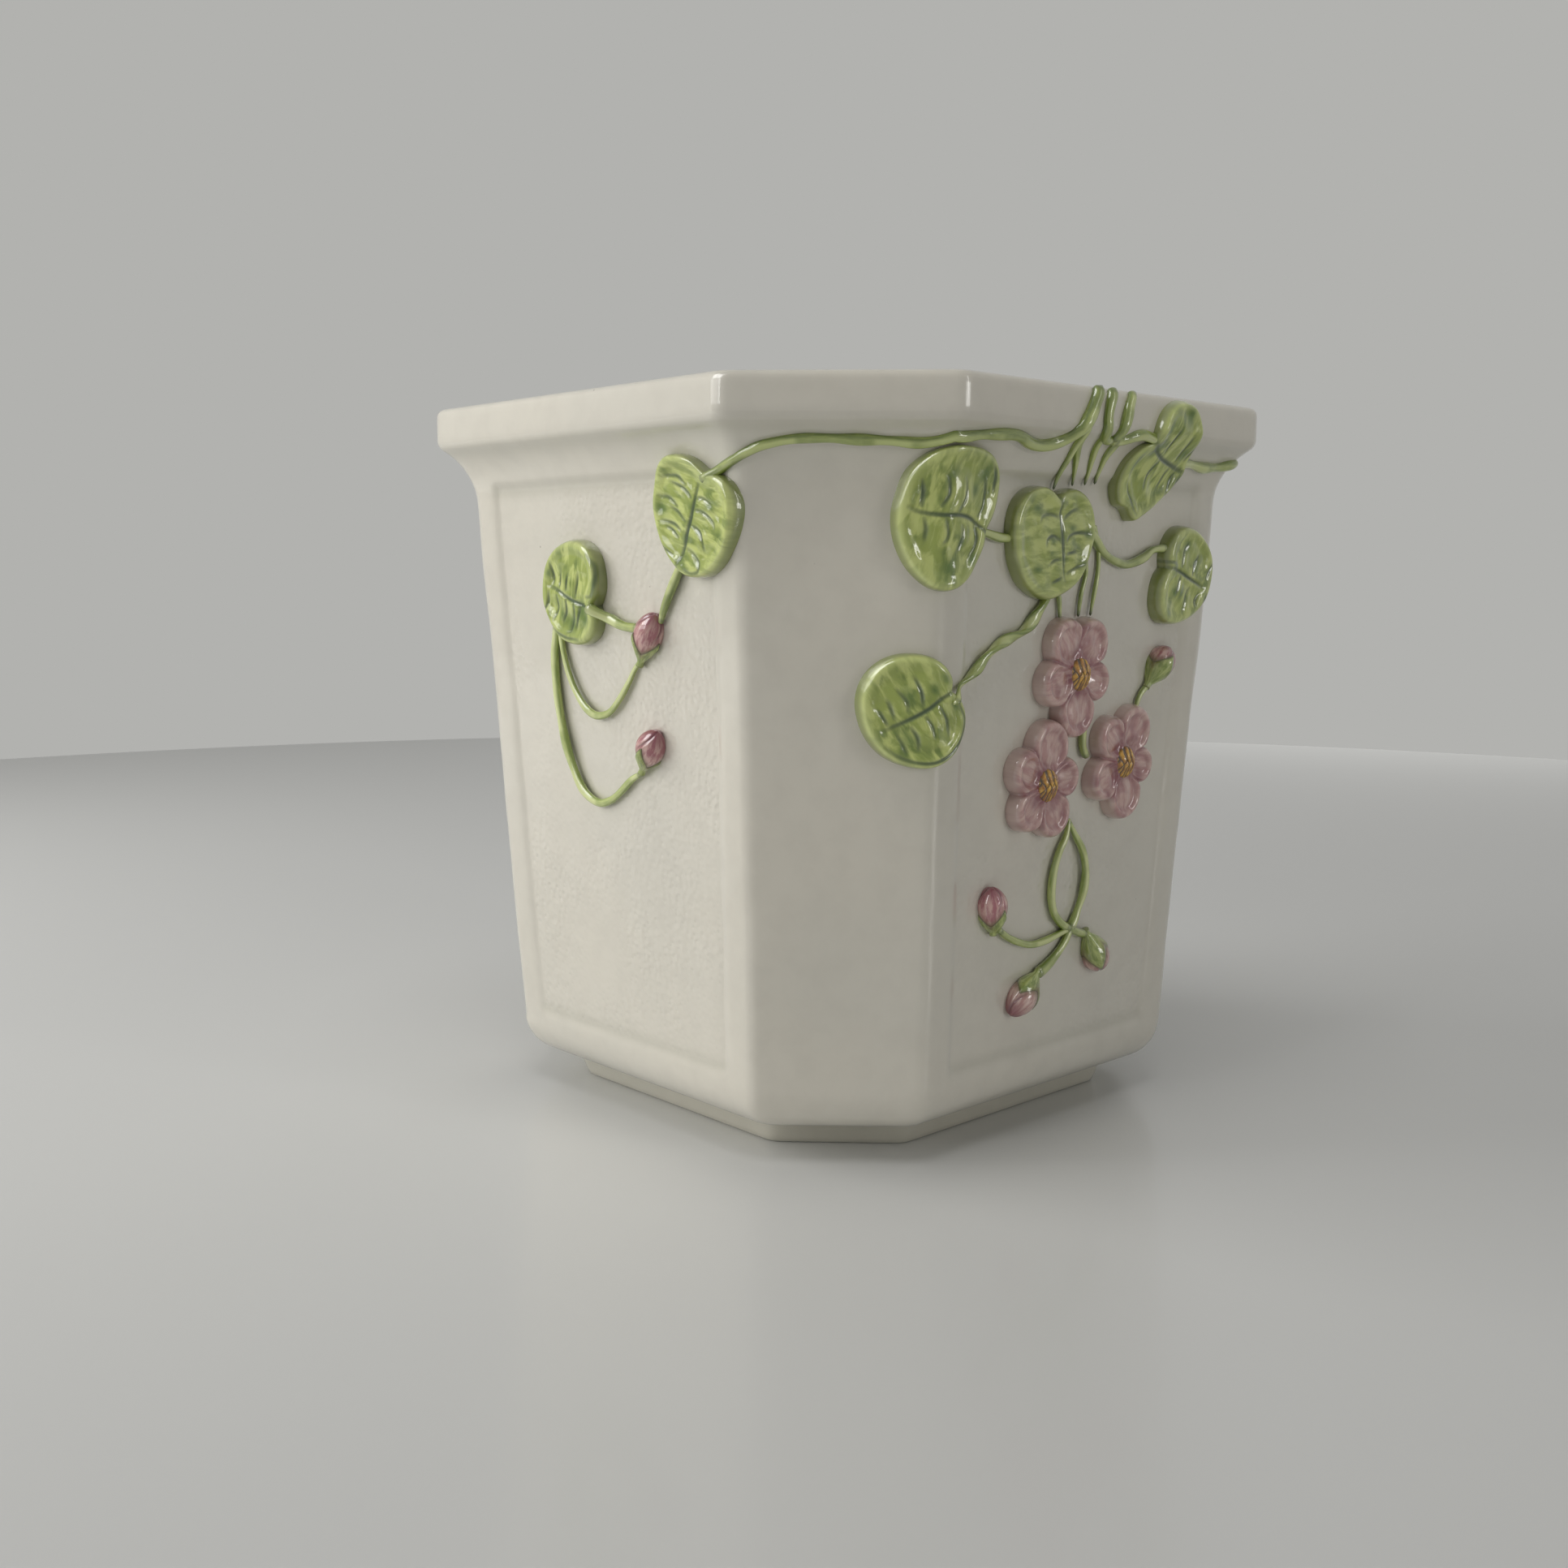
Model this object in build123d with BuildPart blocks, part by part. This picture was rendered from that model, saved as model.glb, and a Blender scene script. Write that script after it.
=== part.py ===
from build123d import *
import os
from math import atan2, cos, degrees, radians, sin, sqrt, tan

os.makedirs("parts", exist_ok=True)

# Octagonal glazed cachepot with clay sprigs: leaves, rolled stems, flowers and buds.
# Millimetres, +Z up. The origin is the middle of the foot, on the table.
# Four wide faces look along X and Y and four narrow ones lie between them.
# Heights of sprigs are shares of the total height, and places across a face are shares of
# its half width, counted to the right as seen from outside.

# Vessel
total_height = 210.0
width_at_table = 173.5
width_at_top = 199.0
wide_face_share = 0.624
corner_radius = 7.0
wall_thickness = 6.5
floor_height = 12.0
floor_round = 8.0

# Foot and base
foot_width = 142.0
foot_top_width = 147.0
foot_height = 8.0
foot_ring_width = 9.0
foot_recess_depth = 4.0
base_round = 12.0

# Rim and cove
rim_width = 217.4
rim_band_height = 12.0
rim_ledge = 12.0
rim_edge_radius = 2.4
lip_reach = 0.9
lip_rise = 1.6
cove_turn = 60

# Recessed panels
panel_border = 9.5
panel_depth = 0.9
panel_bottom = 23.0
panel_top_gap = 23.0
panel_corner_radius = 3.0
panel_slope = 40

# Leaves
leaf_length = 30.0
leaf_width = 33.0
leaf_thickness = 3.6
leaf_dish = 1.0
leaf_edge_width = 3.0
leaf_vein_depth = 0.6
leaf_vein_width = 0.9

# Stems
stem_width = 3.2
tendril_width = 2.2
stem_rise_share = 0.2
arc_share = 0.45

# Flowers
petal_reach = 8.6
petal_radius = 8.2
petal_dome = 4.0
flower_centre_radius = 4.8
flower_centre_rise = 1.4

# Buds
bud_length = 12.5
bud_width = 10.0
bud_rise = 0.5
calyx_wall = 0.7
calyx_tail = 2.5
calyx_belly_share = 0.85

cut_overrun = 2.0

# Faces by the heading of their outward normal, in degrees from +X
LEFT = 180
FRONT_LEFT = 225
FRONT = 270
FRONT_RIGHT = 315
RIGHT = 0
WIDE_FACES = (RIGHT, 90, LEFT, FRONT)

# Steps of the lofts round each arc
cove_steps = 4
base_steps = 4
floor_steps = 3

octagon_growth = tan(radians(22.5))
wall_slope = (width_at_top - width_at_table) / 2 / total_height
wall_lean = atan2(width_at_top - width_at_table, 2 * total_height)
rim_bottom = total_height - rim_band_height
lip_top = rim_bottom + lip_rise


def wall_half(height):
    """Half the width across the wide faces, on the wall planes."""
    return width_at_table / 2 + wall_slope * height


rim_overhang = rim_width / 2 - wall_half(rim_bottom)
cove_radius = (rim_overhang - lip_reach) / (1 - cos(radians(cove_turn)))
cove_bottom = rim_bottom - cove_radius * sin(radians(cove_turn))


def section(height, growth):
    """Rounded octagon at a height: the wall's outline, moved out by growth."""
    face = wide_face_share * wall_half(height) + octagon_growth * growth
    return outline(height, wall_half(height) + growth, face)


def outline(height, half, face):
    """Rounded octagon from half its width across and half its wide face."""
    points = [(half, -face), (half, face), (face, half), (-face, half)]
    points += [(-x, -y) for x, y in points]
    with BuildSketch(Plane.XY.offset(height)) as ring:
        Polygon(*points, align=None)
        fillet(ring.vertices(), corner_radius)
    return ring.sketch


def cove_sections(growth):
    """Sections up the cove's arc, from the wall to the rim, moved out by growth."""
    radius = cove_radius - growth
    turns = [radians(cove_turn) * step / cove_steps for step in range(cove_steps + 1)]
    return [section(cove_bottom + radius * sin(turn), growth + radius * (1 - cos(turn))) for turn in turns]


def upper_form(growth):
    """Outside of the wall, the cove and the rim, moved out by growth, as one solid."""
    cove = cove_sections(growth)
    band = outline(lip_top, *rim_outline(growth))
    with BuildPart() as form:
        loft([section(foot_height + base_round, growth), cove[0]], ruled=True)
        loft(cove)
        loft([cove[-1], band], ruled=True)
        extrude(band, amount=total_height - lip_top)
    return form.part


def rim_outline(growth):
    """Half the rim's width across and half of its wide face."""
    half = rim_width / 2 + growth
    face = wide_face_share * wall_half(lip_top) + octagon_growth * (half - wall_half(lip_top))
    return half, face


def outside(height):
    """Half the width across and half a wide face of the vessel's outside, from the wall up."""
    if height >= lip_top:
        return rim_outline(0)
    growth = 0
    if height > rim_bottom:
        growth = rim_overhang - lip_reach * (lip_top - height) / lip_rise
    elif height > cove_bottom:
        growth = cove_radius - sqrt(cove_radius**2 - (height - cove_bottom) ** 2)
    return wall_half(height) + growth, wide_face_share * wall_half(height) + octagon_growth * growth


def point(heading, across_share, height, proud=0):
    """Point on a face, proud of it by a given amount."""
    half, face = outside(height)
    reach, side = half, face
    if heading not in WIDE_FACES:
        reach, side = (half + face) / sqrt(2), (half - face) / sqrt(2)
    turn = radians(heading)
    out, right = reach + proud, across_share * side
    return Vector(out * cos(turn) - right * sin(turn), out * sin(turn) + right * cos(turn), height)


def face_plane(heading, origin, turn=0):
    """Plane on the leaning wall: Z out of it, X turned up from the horizontal by turn."""
    aim = radians(heading)
    normal = Vector(cos(aim) * cos(wall_lean), sin(aim) * cos(wall_lean), -sin(wall_lean))
    right = Vector(-sin(aim), cos(aim), 0)
    up = normal.cross(right)
    return Plane(origin, x_dir=right * cos(radians(turn)) + up * sin(radians(turn)), z_dir=normal)


# Blank: the vessel's outside with its panels, not yet hollow. Sprigs are trimmed to it.
with BuildPart() as blank:
    foot = outline(0, foot_width / 2, wide_face_share * foot_width / 2)
    loft([foot, outline(foot_height, foot_top_width / 2, wide_face_share * foot_top_width / 2)], ruled=True)
    turns = [radians(90) * step / base_steps for step in range(base_steps + 1)]
    loft([section(foot_height + base_round * (1 - cos(turn)), base_round * (sin(turn) - 1))
          for turn in turns])
    add(upper_form(0))
    panel_top = total_height - panel_top_gap
    panel_middle = (panel_top + panel_bottom) / 2
    panel_half_height = (panel_top - panel_bottom) / 2 / cos(wall_lean)
    for heading in WIDE_FACES:
        middle = point(heading, 0, panel_middle)
        with BuildSketch(face_plane(heading, middle).offset(cut_overrun)) as panel:
            low = wide_face_share * wall_half(panel_bottom) - panel_border
            high = wide_face_share * wall_half(panel_top) - panel_border
            corners = [(-low, -panel_half_height), (low, -panel_half_height)]
            corners += [(high, panel_half_height), (-high, panel_half_height)]
            Polygon(*corners, align=None)
            offset(amount=cut_overrun * tan(radians(panel_slope)), kind=Kind.INTERSECTION)
            fillet(panel.vertices(), panel_corner_radius)
        extrude(amount=-panel_depth - cut_overrun, taper=panel_slope, mode=Mode.SUBTRACT)

# Cavity: follows the wall at the wall's thickness and widens into the rim
with BuildPart() as cavity:
    turns = [radians(90) * step / floor_steps for step in range(floor_steps + 1)]
    inner = []
    for turn in turns:
        growth = floor_round * (sin(turn) - 1) - wall_thickness
        inner.append(section(floor_height + floor_round * (1 - cos(turn)), growth))
    inner_top = section(cove_bottom, -wall_thickness)
    mouth = outline(lip_top, *rim_outline(-rim_ledge))
    loft(inner)
    loft([inner[-1], inner_top], ruled=True)
    loft([inner_top, mouth], ruled=True)
    extrude(mouth, amount=rim_band_height)

with BuildPart() as pot_body:
    add(blank.part)
    add(cavity.part, mode=Mode.SUBTRACT)
    recess_half = foot_width / 2 - foot_ring_width
    recess = outline(0, recess_half, wide_face_share * recess_half)
    extrude(recess, amount=foot_recess_depth, mode=Mode.SUBTRACT)
    fillet(pot_body.faces().sort_by(Axis.Z)[-1].edges(), rim_edge_radius)
pot_body.part.label = "pot_body"
export_step(pot_body.part, "parts/pot_body.step")

# Sprigs, in the order in which they are laid, each with its box. Each is trimmed to the vessel
# and to those that it meets of the sprigs laid before it.
laid = []


def meets(a, b):
    """Whether two boxes meet."""
    return all(low <= high for low, high in zip((*a.min, *b.min), (*b.max, *a.max)))


def trimmed(shape, bed):
    """The largest solid that is left of a sprig outside its bed and the sprigs already laid."""
    box = shape.bounding_box()
    with BuildPart() as sprig:
        add(shape)
        add(bed, mode=Mode.SUBTRACT)
        for other, other_box in laid:
            if meets(box, other_box):
                add(other, mode=Mode.SUBTRACT)
    return sprig.part.solids().sort_by(SortBy.VOLUME)[-1]


def lay(name, *shapes, bed=blank.part):
    """Trim the solids of a sprig to what they lie on and write them under one name."""
    solids = []
    for shape in shapes:
        solids.append(trimmed(shape, bed))
        laid.append((solids[-1], solids[-1].bounding_box()))
    node = solids[0] if len(solids) == 1 else Compound(children=solids)
    node.label = name
    export_step(node, f"parts/{name}.step")


# Leaves: face, place across it, height, heading of the leaf, length, width, aim of the tip in degrees
leaf_shares = {
    "leaf_left_upper": (LEFT, 0.75, 0.836, LEFT, 1.1, 0.95, -110),
    "leaf_left_lower": (LEFT, -0.19, 0.74, LEFT, 0.93, 0.94, 168),
    "leaf_corner_upper": (FRONT, -0.94, 0.831, 247.5, 1.03, 1.12, 168),
    "leaf_corner_lower": (FRONT_LEFT, 0.85, 0.598, 247.5, 0.98, 0.95, 213),
    "leaf_heart": (FRONT, -0.31, 0.805, FRONT, 1.03, 1.06, -90),
    "leaf_over_rim": (FRONT, 0.33, 0.919, FRONT, 1.03, 1.0, -20),
    "leaf_front_right": (FRONT, 0.77, 0.762, 280, 1.03, 0.86, -13),
    "leaf_right": (RIGHT, -0.5, 0.8, RIGHT, 1.0, 1.0, -70),
}
# Half of a leaf's outline as shares of its length and width, from the notch to the tip: two arcs
leaf_outline_shares = [(-0.4, 0), (-0.47, 0.3), (-0.05, 0.5), (0.34, 0.33), (0.5, 0)]
midrib_share = 0.78
side_vein_share = 0.24
side_vein_places_shares = [-0.2, 0, 0.2]
side_vein_turn = 60

leaf_top = upper_form(leaf_thickness)
leaf_floor = upper_form(leaf_thickness - leaf_dish)
vein_floor = upper_form(leaf_thickness - leaf_dish - leaf_vein_depth)


def leaf_face(plane, length, width, inset=0):
    """Outline of a leaf on a plane, its tip along X, or the same outline drawn in."""
    notch, lobe, side, cheek, tip = [(x * length, y * width) for x, y in leaf_outline_shares]
    with BuildSketch(plane) as face:
        with BuildLine():
            ThreePointArc(notch, lobe, side)
            ThreePointArc(side, cheek, tip)
            mirror(about=Plane.XZ)
        make_face()
        if inset:
            offset(amount=-inset)
    return face.sketch


def leaf(heading, across, height, leaf_heading, length_share, width_share, turn):
    """A plate over the wall's form, with a rolled edge, a dished middle and incised veins."""
    length, width = length_share * leaf_length, width_share * leaf_width
    plane = face_plane(leaf_heading, point(heading, across, height * total_height), turn)
    with BuildPart() as dish:
        extrude(leaf_face(plane, length, width, leaf_edge_width), amount=leaf_length, both=True)
        add(leaf_floor, mode=Mode.SUBTRACT)
    with BuildPart() as veins:
        with BuildSketch(plane):
            Rectangle(midrib_share * length, leaf_vein_width)
            for place in side_vein_places_shares:
                for side in (-1, 1):
                    reach = side_vein_share * width
                    with Locations((place * length, side * reach / 2)):
                        Rectangle(reach, leaf_vein_width, rotation=side * side_vein_turn)
        extrude(amount=leaf_length, both=True)
        add(vein_floor, mode=Mode.SUBTRACT)
    with BuildPart() as plate:
        extrude(leaf_face(plane, length, width), amount=leaf_length, both=True)
        add(leaf_top, mode=Mode.INTERSECT)
        add(dish.part, mode=Mode.SUBTRACT)
        add(veins.part, mode=Mode.SUBTRACT)
    return plate.part


for name, shares in leaf_shares.items():
    lay(name, leaf(*shares))

# Flowers: place across the front face, height, aim of the first petal in degrees
flower_shares = {
    "flower_top": (-0.085, 0.629, 54),
    "flower_left": (-0.268, 0.494, 8),
    "flower_right": (0.348, 0.505, 63),
}
petal_count = 5


def petal(plane):
    """A domed petal along X of a plane, cut to its share of the circle round the flower's middle."""
    dome_radius = (petal_radius**2 + petal_dome**2) / (2 * petal_dome)
    reach = 2 * (petal_reach + petal_radius)
    side = reach * tan(radians(180 / petal_count))
    with BuildPart() as dome:
        with BuildSketch(plane):
            Polygon((0, 0), (reach, -side), (reach, side), align=None)
        extrude(amount=reach, both=True)
        with Locations(plane.from_local_coords((petal_reach, 0, petal_dome - dome_radius))):
            Sphere(dome_radius, mode=Mode.INTERSECT)
    return dome.part


for name, (across, height, first_aim) in flower_shares.items():
    origin = point(FRONT, across, height * total_height)
    aims = [first_aim + 360 * number / petal_count for number in range(petal_count)]
    with BuildPart() as middle:
        with Locations(face_plane(FRONT, origin).offset(flower_centre_rise)):
            Sphere(flower_centre_radius)
    lay(f"{name}_centre", middle.part)
    lay(f"{name}_petals", *[petal(face_plane(FRONT, origin, aim)) for aim in aims])

# Buds: face, place across it, height, aim of the tip in degrees, share of the bud that the calyx covers
bud_shares = {
    "bud_left_upper": (LEFT, 0.39, 0.683, 50, 0.35),
    "bud_left_lower": (LEFT, 0.37, 0.531, 45, 0.4),
    "bud_front_right": (FRONT, 0.635, 0.641, 38, 0.5),
    "bud_front_left": (FRONT, -0.575, 0.333, 133, 0.35),
    "bud_front_middle": (FRONT, 0.28, 0.236, -50, 0.7),
    "bud_front_low": (FRONT, -0.3, 0.2, 215, 0.45),
    "bud_right_upper": (RIGHT, 0.05, 0.655, 60, 0.4),
    "bud_right_lower": (RIGHT, -0.1, 0.5, 50, 0.4),
}


def turned_form(plane, outline_points, through):
    """A solid turned round X of the plane, its outline an arc between two points off the axis."""
    start, end = outline_points
    with BuildPart() as form:
        with BuildSketch(Plane(plane.origin, x_dir=plane.x_dir, z_dir=-plane.y_dir)):
            with BuildLine():
                Polyline((end[0], 0), (start[0], 0), start)
                ThreePointArc(start, through, end)
                Line(end, (end[0], 0))
            make_face()
        revolve(axis=Axis(plane.origin, plane.x_dir))
    return form.part


for name, (heading, across, height, aim, calyx_share) in bud_shares.items():
    plane = face_plane(heading, point(heading, across, height * total_height), aim).offset(bud_rise)
    with BuildPart() as bud:
        with BuildSketch(Plane(plane.origin, x_dir=plane.x_dir, z_dir=-plane.y_dir)):
            with BuildLine():
                for start_angle in (0, 90):
                    EllipticalCenterArc((0, 0), bud_length / 2, bud_width / 2, start_angle, arc_size=90)
                Line((-bud_length / 2, 0), (bud_length / 2, 0))
            make_face()
        revolve(axis=Axis(plane.origin, plane.x_dir))
    lay(name, bud.part)
    edge = calyx_share * bud_length - bud_length / 2
    edge_radius = bud_width * sqrt(calyx_share * (1 - calyx_share)) + calyx_wall
    tail = -bud_length / 2 - calyx_tail
    middle = ((edge + tail) / 2, calyx_belly_share * edge_radius)
    lay(f"{name}_calyx", turned_form(plane, [(tail, tendril_width / 2), (edge, edge_radius)], middle))

# Stems: width, then the route as face, place across it and height
stem_shares = {
    "vine": (1, [
        (LEFT, 0.77, 0.874), (LEFT, 0.865, 0.884), (LEFT, 0.955, 0.893), (LEFT, 1, 0.901),
        (FRONT_LEFT, -0.72, 0.915), (FRONT_LEFT, -0.25, 0.924), (FRONT_LEFT, 0.3, 0.923),
        (FRONT_LEFT, 0.72, 0.918), (FRONT_LEFT, 1, 0.924), (FRONT, -0.82, 0.932), (FRONT, -0.62, 0.936),
        (FRONT, -0.5, 0.93), (FRONT, -0.4, 0.935), (FRONT, -0.31, 0.95), (FRONT, -0.26, 0.972),
        (FRONT, -0.235, 0.992)]),
    "rim_loop_middle": (1.2, [(FRONT, -0.15, 0.945), (FRONT, -0.155, 0.965), (FRONT, -0.14, 0.992)]),
    "rim_loop_right": (1.2, [(FRONT, -0.03, 0.945), (FRONT, -0.035, 0.965), (FRONT, -0.005, 0.992)]),
    "vine_to_rim_leaf": (1, [
        (FRONT, -0.13, 0.945), (FRONT, -0.06, 0.941), (FRONT, 0.02, 0.94), (FRONT, 0.11, 0.946),
        (FRONT, 0.19, 0.949)]),
    "vine_round_right_corner": (1, [
        (FRONT, 0.6, 0.918), (FRONT, 0.74, 0.914), (FRONT, 0.88, 0.917), (FRONT, 1, 0.922),
        (FRONT_RIGHT, -0.6, 0.926), (FRONT_RIGHT, 0, 0.921), (FRONT_RIGHT, 0.6, 0.924),
        (FRONT_RIGHT, 1, 0.918), (RIGHT, -0.84, 0.908), (RIGHT, -0.69, 0.89), (RIGHT, -0.58, 0.86)]),
    "stem_corner_leaf_to_heart": (0.8, [
        (FRONT, -0.78, 0.816), (FRONT, -0.66, 0.811), (FRONT, -0.54, 0.814)]),
    "stem_heart_to_right_leaf": (0.85, [
        (FRONT, 0.03, 0.805), (FRONT, 0.17, 0.786), (FRONT, 0.3, 0.779), (FRONT, 0.43, 0.795),
        (FRONT, 0.55, 0.801)]),
    "stem_twisted": (1.05, [
        (FRONT, -0.33, 0.74), (FRONT, -0.44, 0.708), (FRONT, -0.57, 0.688), (FRONT, -0.7, 0.67),
        (FRONT, -0.83, 0.638), (FRONT, -0.93, 0.621)]),
    "stem_leaf_to_bud": (0.85, [(LEFT, 0.6, 0.768), (LEFT, 0.53, 0.735), (LEFT, 0.45, 0.7)]),
    "stem_leaf_to_bud_low": (0.95, [
        (LEFT, 0, 0.726), (LEFT, 0.09, 0.707), (LEFT, 0.18, 0.697), (LEFT, 0.28, 0.698)]),
    "loop_left_inner": (0.8, [
        (LEFT, -0.31, 0.69), (LEFT, -0.3, 0.63), (LEFT, -0.23, 0.595), (LEFT, -0.1, 0.573),
        (LEFT, 0.04, 0.576), (LEFT, 0.16, 0.605), (LEFT, 0.25, 0.65)]),
    "loop_left_outer": (1, [
        (LEFT, -0.37, 0.69), (LEFT, -0.43, 0.63), (LEFT, -0.41, 0.55), (LEFT, -0.33, 0.485),
        (LEFT, -0.19, 0.456), (LEFT, -0.03, 0.453), (LEFT, 0.1, 0.473), (LEFT, 0.22, 0.51)]),
    "flower_tail": (0.75, [(FRONT, 0.03, 0.565), (FRONT, 0.04, 0.54), (FRONT, 0.08, 0.521)]),
    "stem_bud_right": (0.8, [(FRONT, 0.44, 0.588), (FRONT, 0.5, 0.607), (FRONT, 0.57, 0.622)]),
    "loop_below_left": (0.85, [
        (FRONT, -0.01, 0.43), (FRONT, -0.08, 0.38), (FRONT, -0.11, 0.335), (FRONT, -0.07, 0.298),
        (FRONT, 0.04, 0.272)]),
    "loop_below_right": (0.85, [
        (FRONT, 0.02, 0.43), (FRONT, 0.11, 0.388), (FRONT, 0.165, 0.343), (FRONT, 0.15, 0.3),
        (FRONT, 0.06, 0.272)]),
    "stem_bud_front_left": (0.8, [
        (FRONT, 0.04, 0.275), (FRONT, -0.07, 0.272), (FRONT, -0.2, 0.269), (FRONT, -0.33, 0.277),
        (FRONT, -0.46, 0.3)]),
    "stem_bud_front_middle": (0.9, [(FRONT, 0.05, 0.275), (FRONT, 0.12, 0.268), (FRONT, 0.22, 0.25)]),
    "stem_bud_front_low": (0.9, [(FRONT, 0.05, 0.272), (FRONT, -0.03, 0.256), (FRONT, -0.15, 0.235)]),
    "stem_bud_far_upper": (0.8, [
        (RIGHT, -0.42, 0.745), (RIGHT, -0.33, 0.69), (RIGHT, -0.2, 0.655), (RIGHT, -0.05, 0.635)]),
    "stem_bud_far_lower": (0.9, [
        (RIGHT, -0.58, 0.745), (RIGHT, -0.68, 0.66), (RIGHT, -0.66, 0.57), (RIGHT, -0.54, 0.495),
        (RIGHT, -0.38, 0.465), (RIGHT, -0.2, 0.475)]),
}
# Thin stems that share a node: the tips that hang from the rim loops, and the stems above the top flower
tendril_shares = {
    "hanging_tips": [
        [(FRONT, -0.25, 0.945), (FRONT, -0.275, 0.915), (FRONT, -0.305, 0.882)],
        [(FRONT, -0.235, 0.945), (FRONT, -0.2, 0.915), (FRONT, -0.175, 0.884)],
        [(FRONT, -0.14, 0.94), (FRONT, -0.11, 0.915), (FRONT, -0.09, 0.888)],
        [(FRONT, 0.04, 0.938), (FRONT, 0.01, 0.912), (FRONT, -0.02, 0.889)]],
    "flower_stems": [
        [(FRONT, -0.215, 0.745), (FRONT, -0.205, 0.722), (FRONT, -0.19, 0.7)],
        [(FRONT, -0.02, 0.765), (FRONT, -0.05, 0.738), (FRONT, -0.07, 0.705)],
        [(FRONT, 0.03, 0.815), (FRONT, 0.08, 0.78), (FRONT, 0.07, 0.74), (FRONT, 0.02, 0.7)]],
}


def stem(places, width):
    """A rolled coil half sunk in the wall: straight runs joined by the widest arcs that they allow."""
    points = [point(heading, across, height * total_height, width * stem_rise_share)
              for heading, across, height in places]
    radii = []
    for before, corner, after in zip(points, points[1:], points[2:]):
        run_in, run_out = corner - before, after - corner
        half_turn = radians(run_in.get_angle(run_out) / 2)
        radii.append(arc_share * min(run_in.length, run_out.length) / tan(half_turn))
    with BuildPart() as coil:
        with BuildLine():
            route = FilletPolyline(*points, radius=radii)
        with BuildSketch(Plane(route @ 0, z_dir=route % 0)):
            Circle(width / 2)
        sweep()
    return coil.part


for name, (width_share, places) in stem_shares.items():
    lay(name, stem(places, width_share * stem_width), bed=pot_body.part)
for name, routes in tendril_shares.items():
    lay(name, *[stem(places, tendril_width) for places in routes], bed=pot_body.part)
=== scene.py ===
from math import atan2, cos, pi, radians, sin, sqrt, tan

import bpy
import numpy as np
from mathutils import Matrix, Vector


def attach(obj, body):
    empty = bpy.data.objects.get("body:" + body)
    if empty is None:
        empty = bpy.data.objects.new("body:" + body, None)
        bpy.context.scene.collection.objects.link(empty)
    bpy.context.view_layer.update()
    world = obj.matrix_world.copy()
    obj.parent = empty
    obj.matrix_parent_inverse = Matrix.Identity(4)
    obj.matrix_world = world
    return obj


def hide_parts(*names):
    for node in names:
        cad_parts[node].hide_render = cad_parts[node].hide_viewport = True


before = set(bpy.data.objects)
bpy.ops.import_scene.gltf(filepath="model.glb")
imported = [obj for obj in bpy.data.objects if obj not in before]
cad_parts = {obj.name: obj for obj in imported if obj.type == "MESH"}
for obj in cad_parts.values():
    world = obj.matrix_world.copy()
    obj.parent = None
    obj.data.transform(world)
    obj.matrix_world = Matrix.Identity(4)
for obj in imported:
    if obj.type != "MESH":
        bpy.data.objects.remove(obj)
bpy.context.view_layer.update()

# Sizes are in millimetres and become metres when a mesh is made
MM = 0.001

# Vessel, as in the solids
TOTAL = 210.0
WIDTH_TABLE = 173.5
WIDTH_TOP = 199.0
WIDE_SHARE = 0.624
CORNER = 7.0
WALL = 6.5
FLOOR = 12.0
FLOOR_ROUND = 8.0
FOOT = 142.0
FOOT_TOP = 147.0
FOOT_HEIGHT = 8.0
FOOT_RING = 9.0
FOOT_RECESS = 4.0
BASE_ROUND = 12.0
RIM = 217.4
RIM_BAND = 12.0
RIM_LEDGE = 12.0
RIM_EDGE = 2.4
LIP_REACH = 0.9
LIP_RISE = 1.6
COVE_TURN = radians(60)
PANEL_BORDER = 9.5
PANEL_DEPTH = 0.9
PANEL_GAP = 23.0
PANEL_CORNER = 4.0

SLOPE = (WIDTH_TOP - WIDTH_TABLE) / 2 / TOTAL
LEAN = atan2(WIDTH_TOP - WIDTH_TABLE, 2 * TOTAL)
TAN = tan(radians(22.5))
ROOT = sqrt(2)


def wall_half(z):
    """Half the width across the wide faces, on the wall planes."""
    return WIDTH_TABLE / 2 + SLOPE * z


RIM_BOTTOM = TOTAL - RIM_BAND
LIP_TOP = RIM_BOTTOM + LIP_RISE
OVERHANG = RIM / 2 - wall_half(RIM_BOTTOM)
COVE_RADIUS = (OVERHANG - LIP_REACH) / (1 - cos(COVE_TURN))
COVE_BOTTOM = RIM_BOTTOM - COVE_RADIUS * sin(COVE_TURN)
BAND = RIM / 2 - wall_half(LIP_TOP)

# Heights of the outside above the wall's foot, and how far it stands out from the wall planes there
cove_turns = np.linspace(0, COVE_TURN, 17)
edge_turns = np.linspace(0, 1, 9)[1:]
GROWTH_Z = np.concatenate([COVE_BOTTOM + COVE_RADIUS * np.sin(cove_turns), [LIP_TOP, TOTAL - RIM_EDGE],
                           TOTAL - RIM_EDGE + RIM_EDGE * edge_turns])
GROWTH = np.concatenate([COVE_RADIUS * (1 - np.cos(cove_turns)), [BAND, BAND],
                         BAND - RIM_EDGE * (1 - np.sqrt(1 - edge_turns ** 2))])


def base_growth(z, spread=0.0):
    """How far the outside stands out from the wall planes at a height, evened out over a spread."""
    if not spread:
        return np.interp(z, GROWTH_Z, GROWTH)
    return sum(np.interp(z + spread * k, GROWTH_Z, GROWTH) for k in (-1, -0.5, 0, 0.5, 1)) / 5


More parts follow.
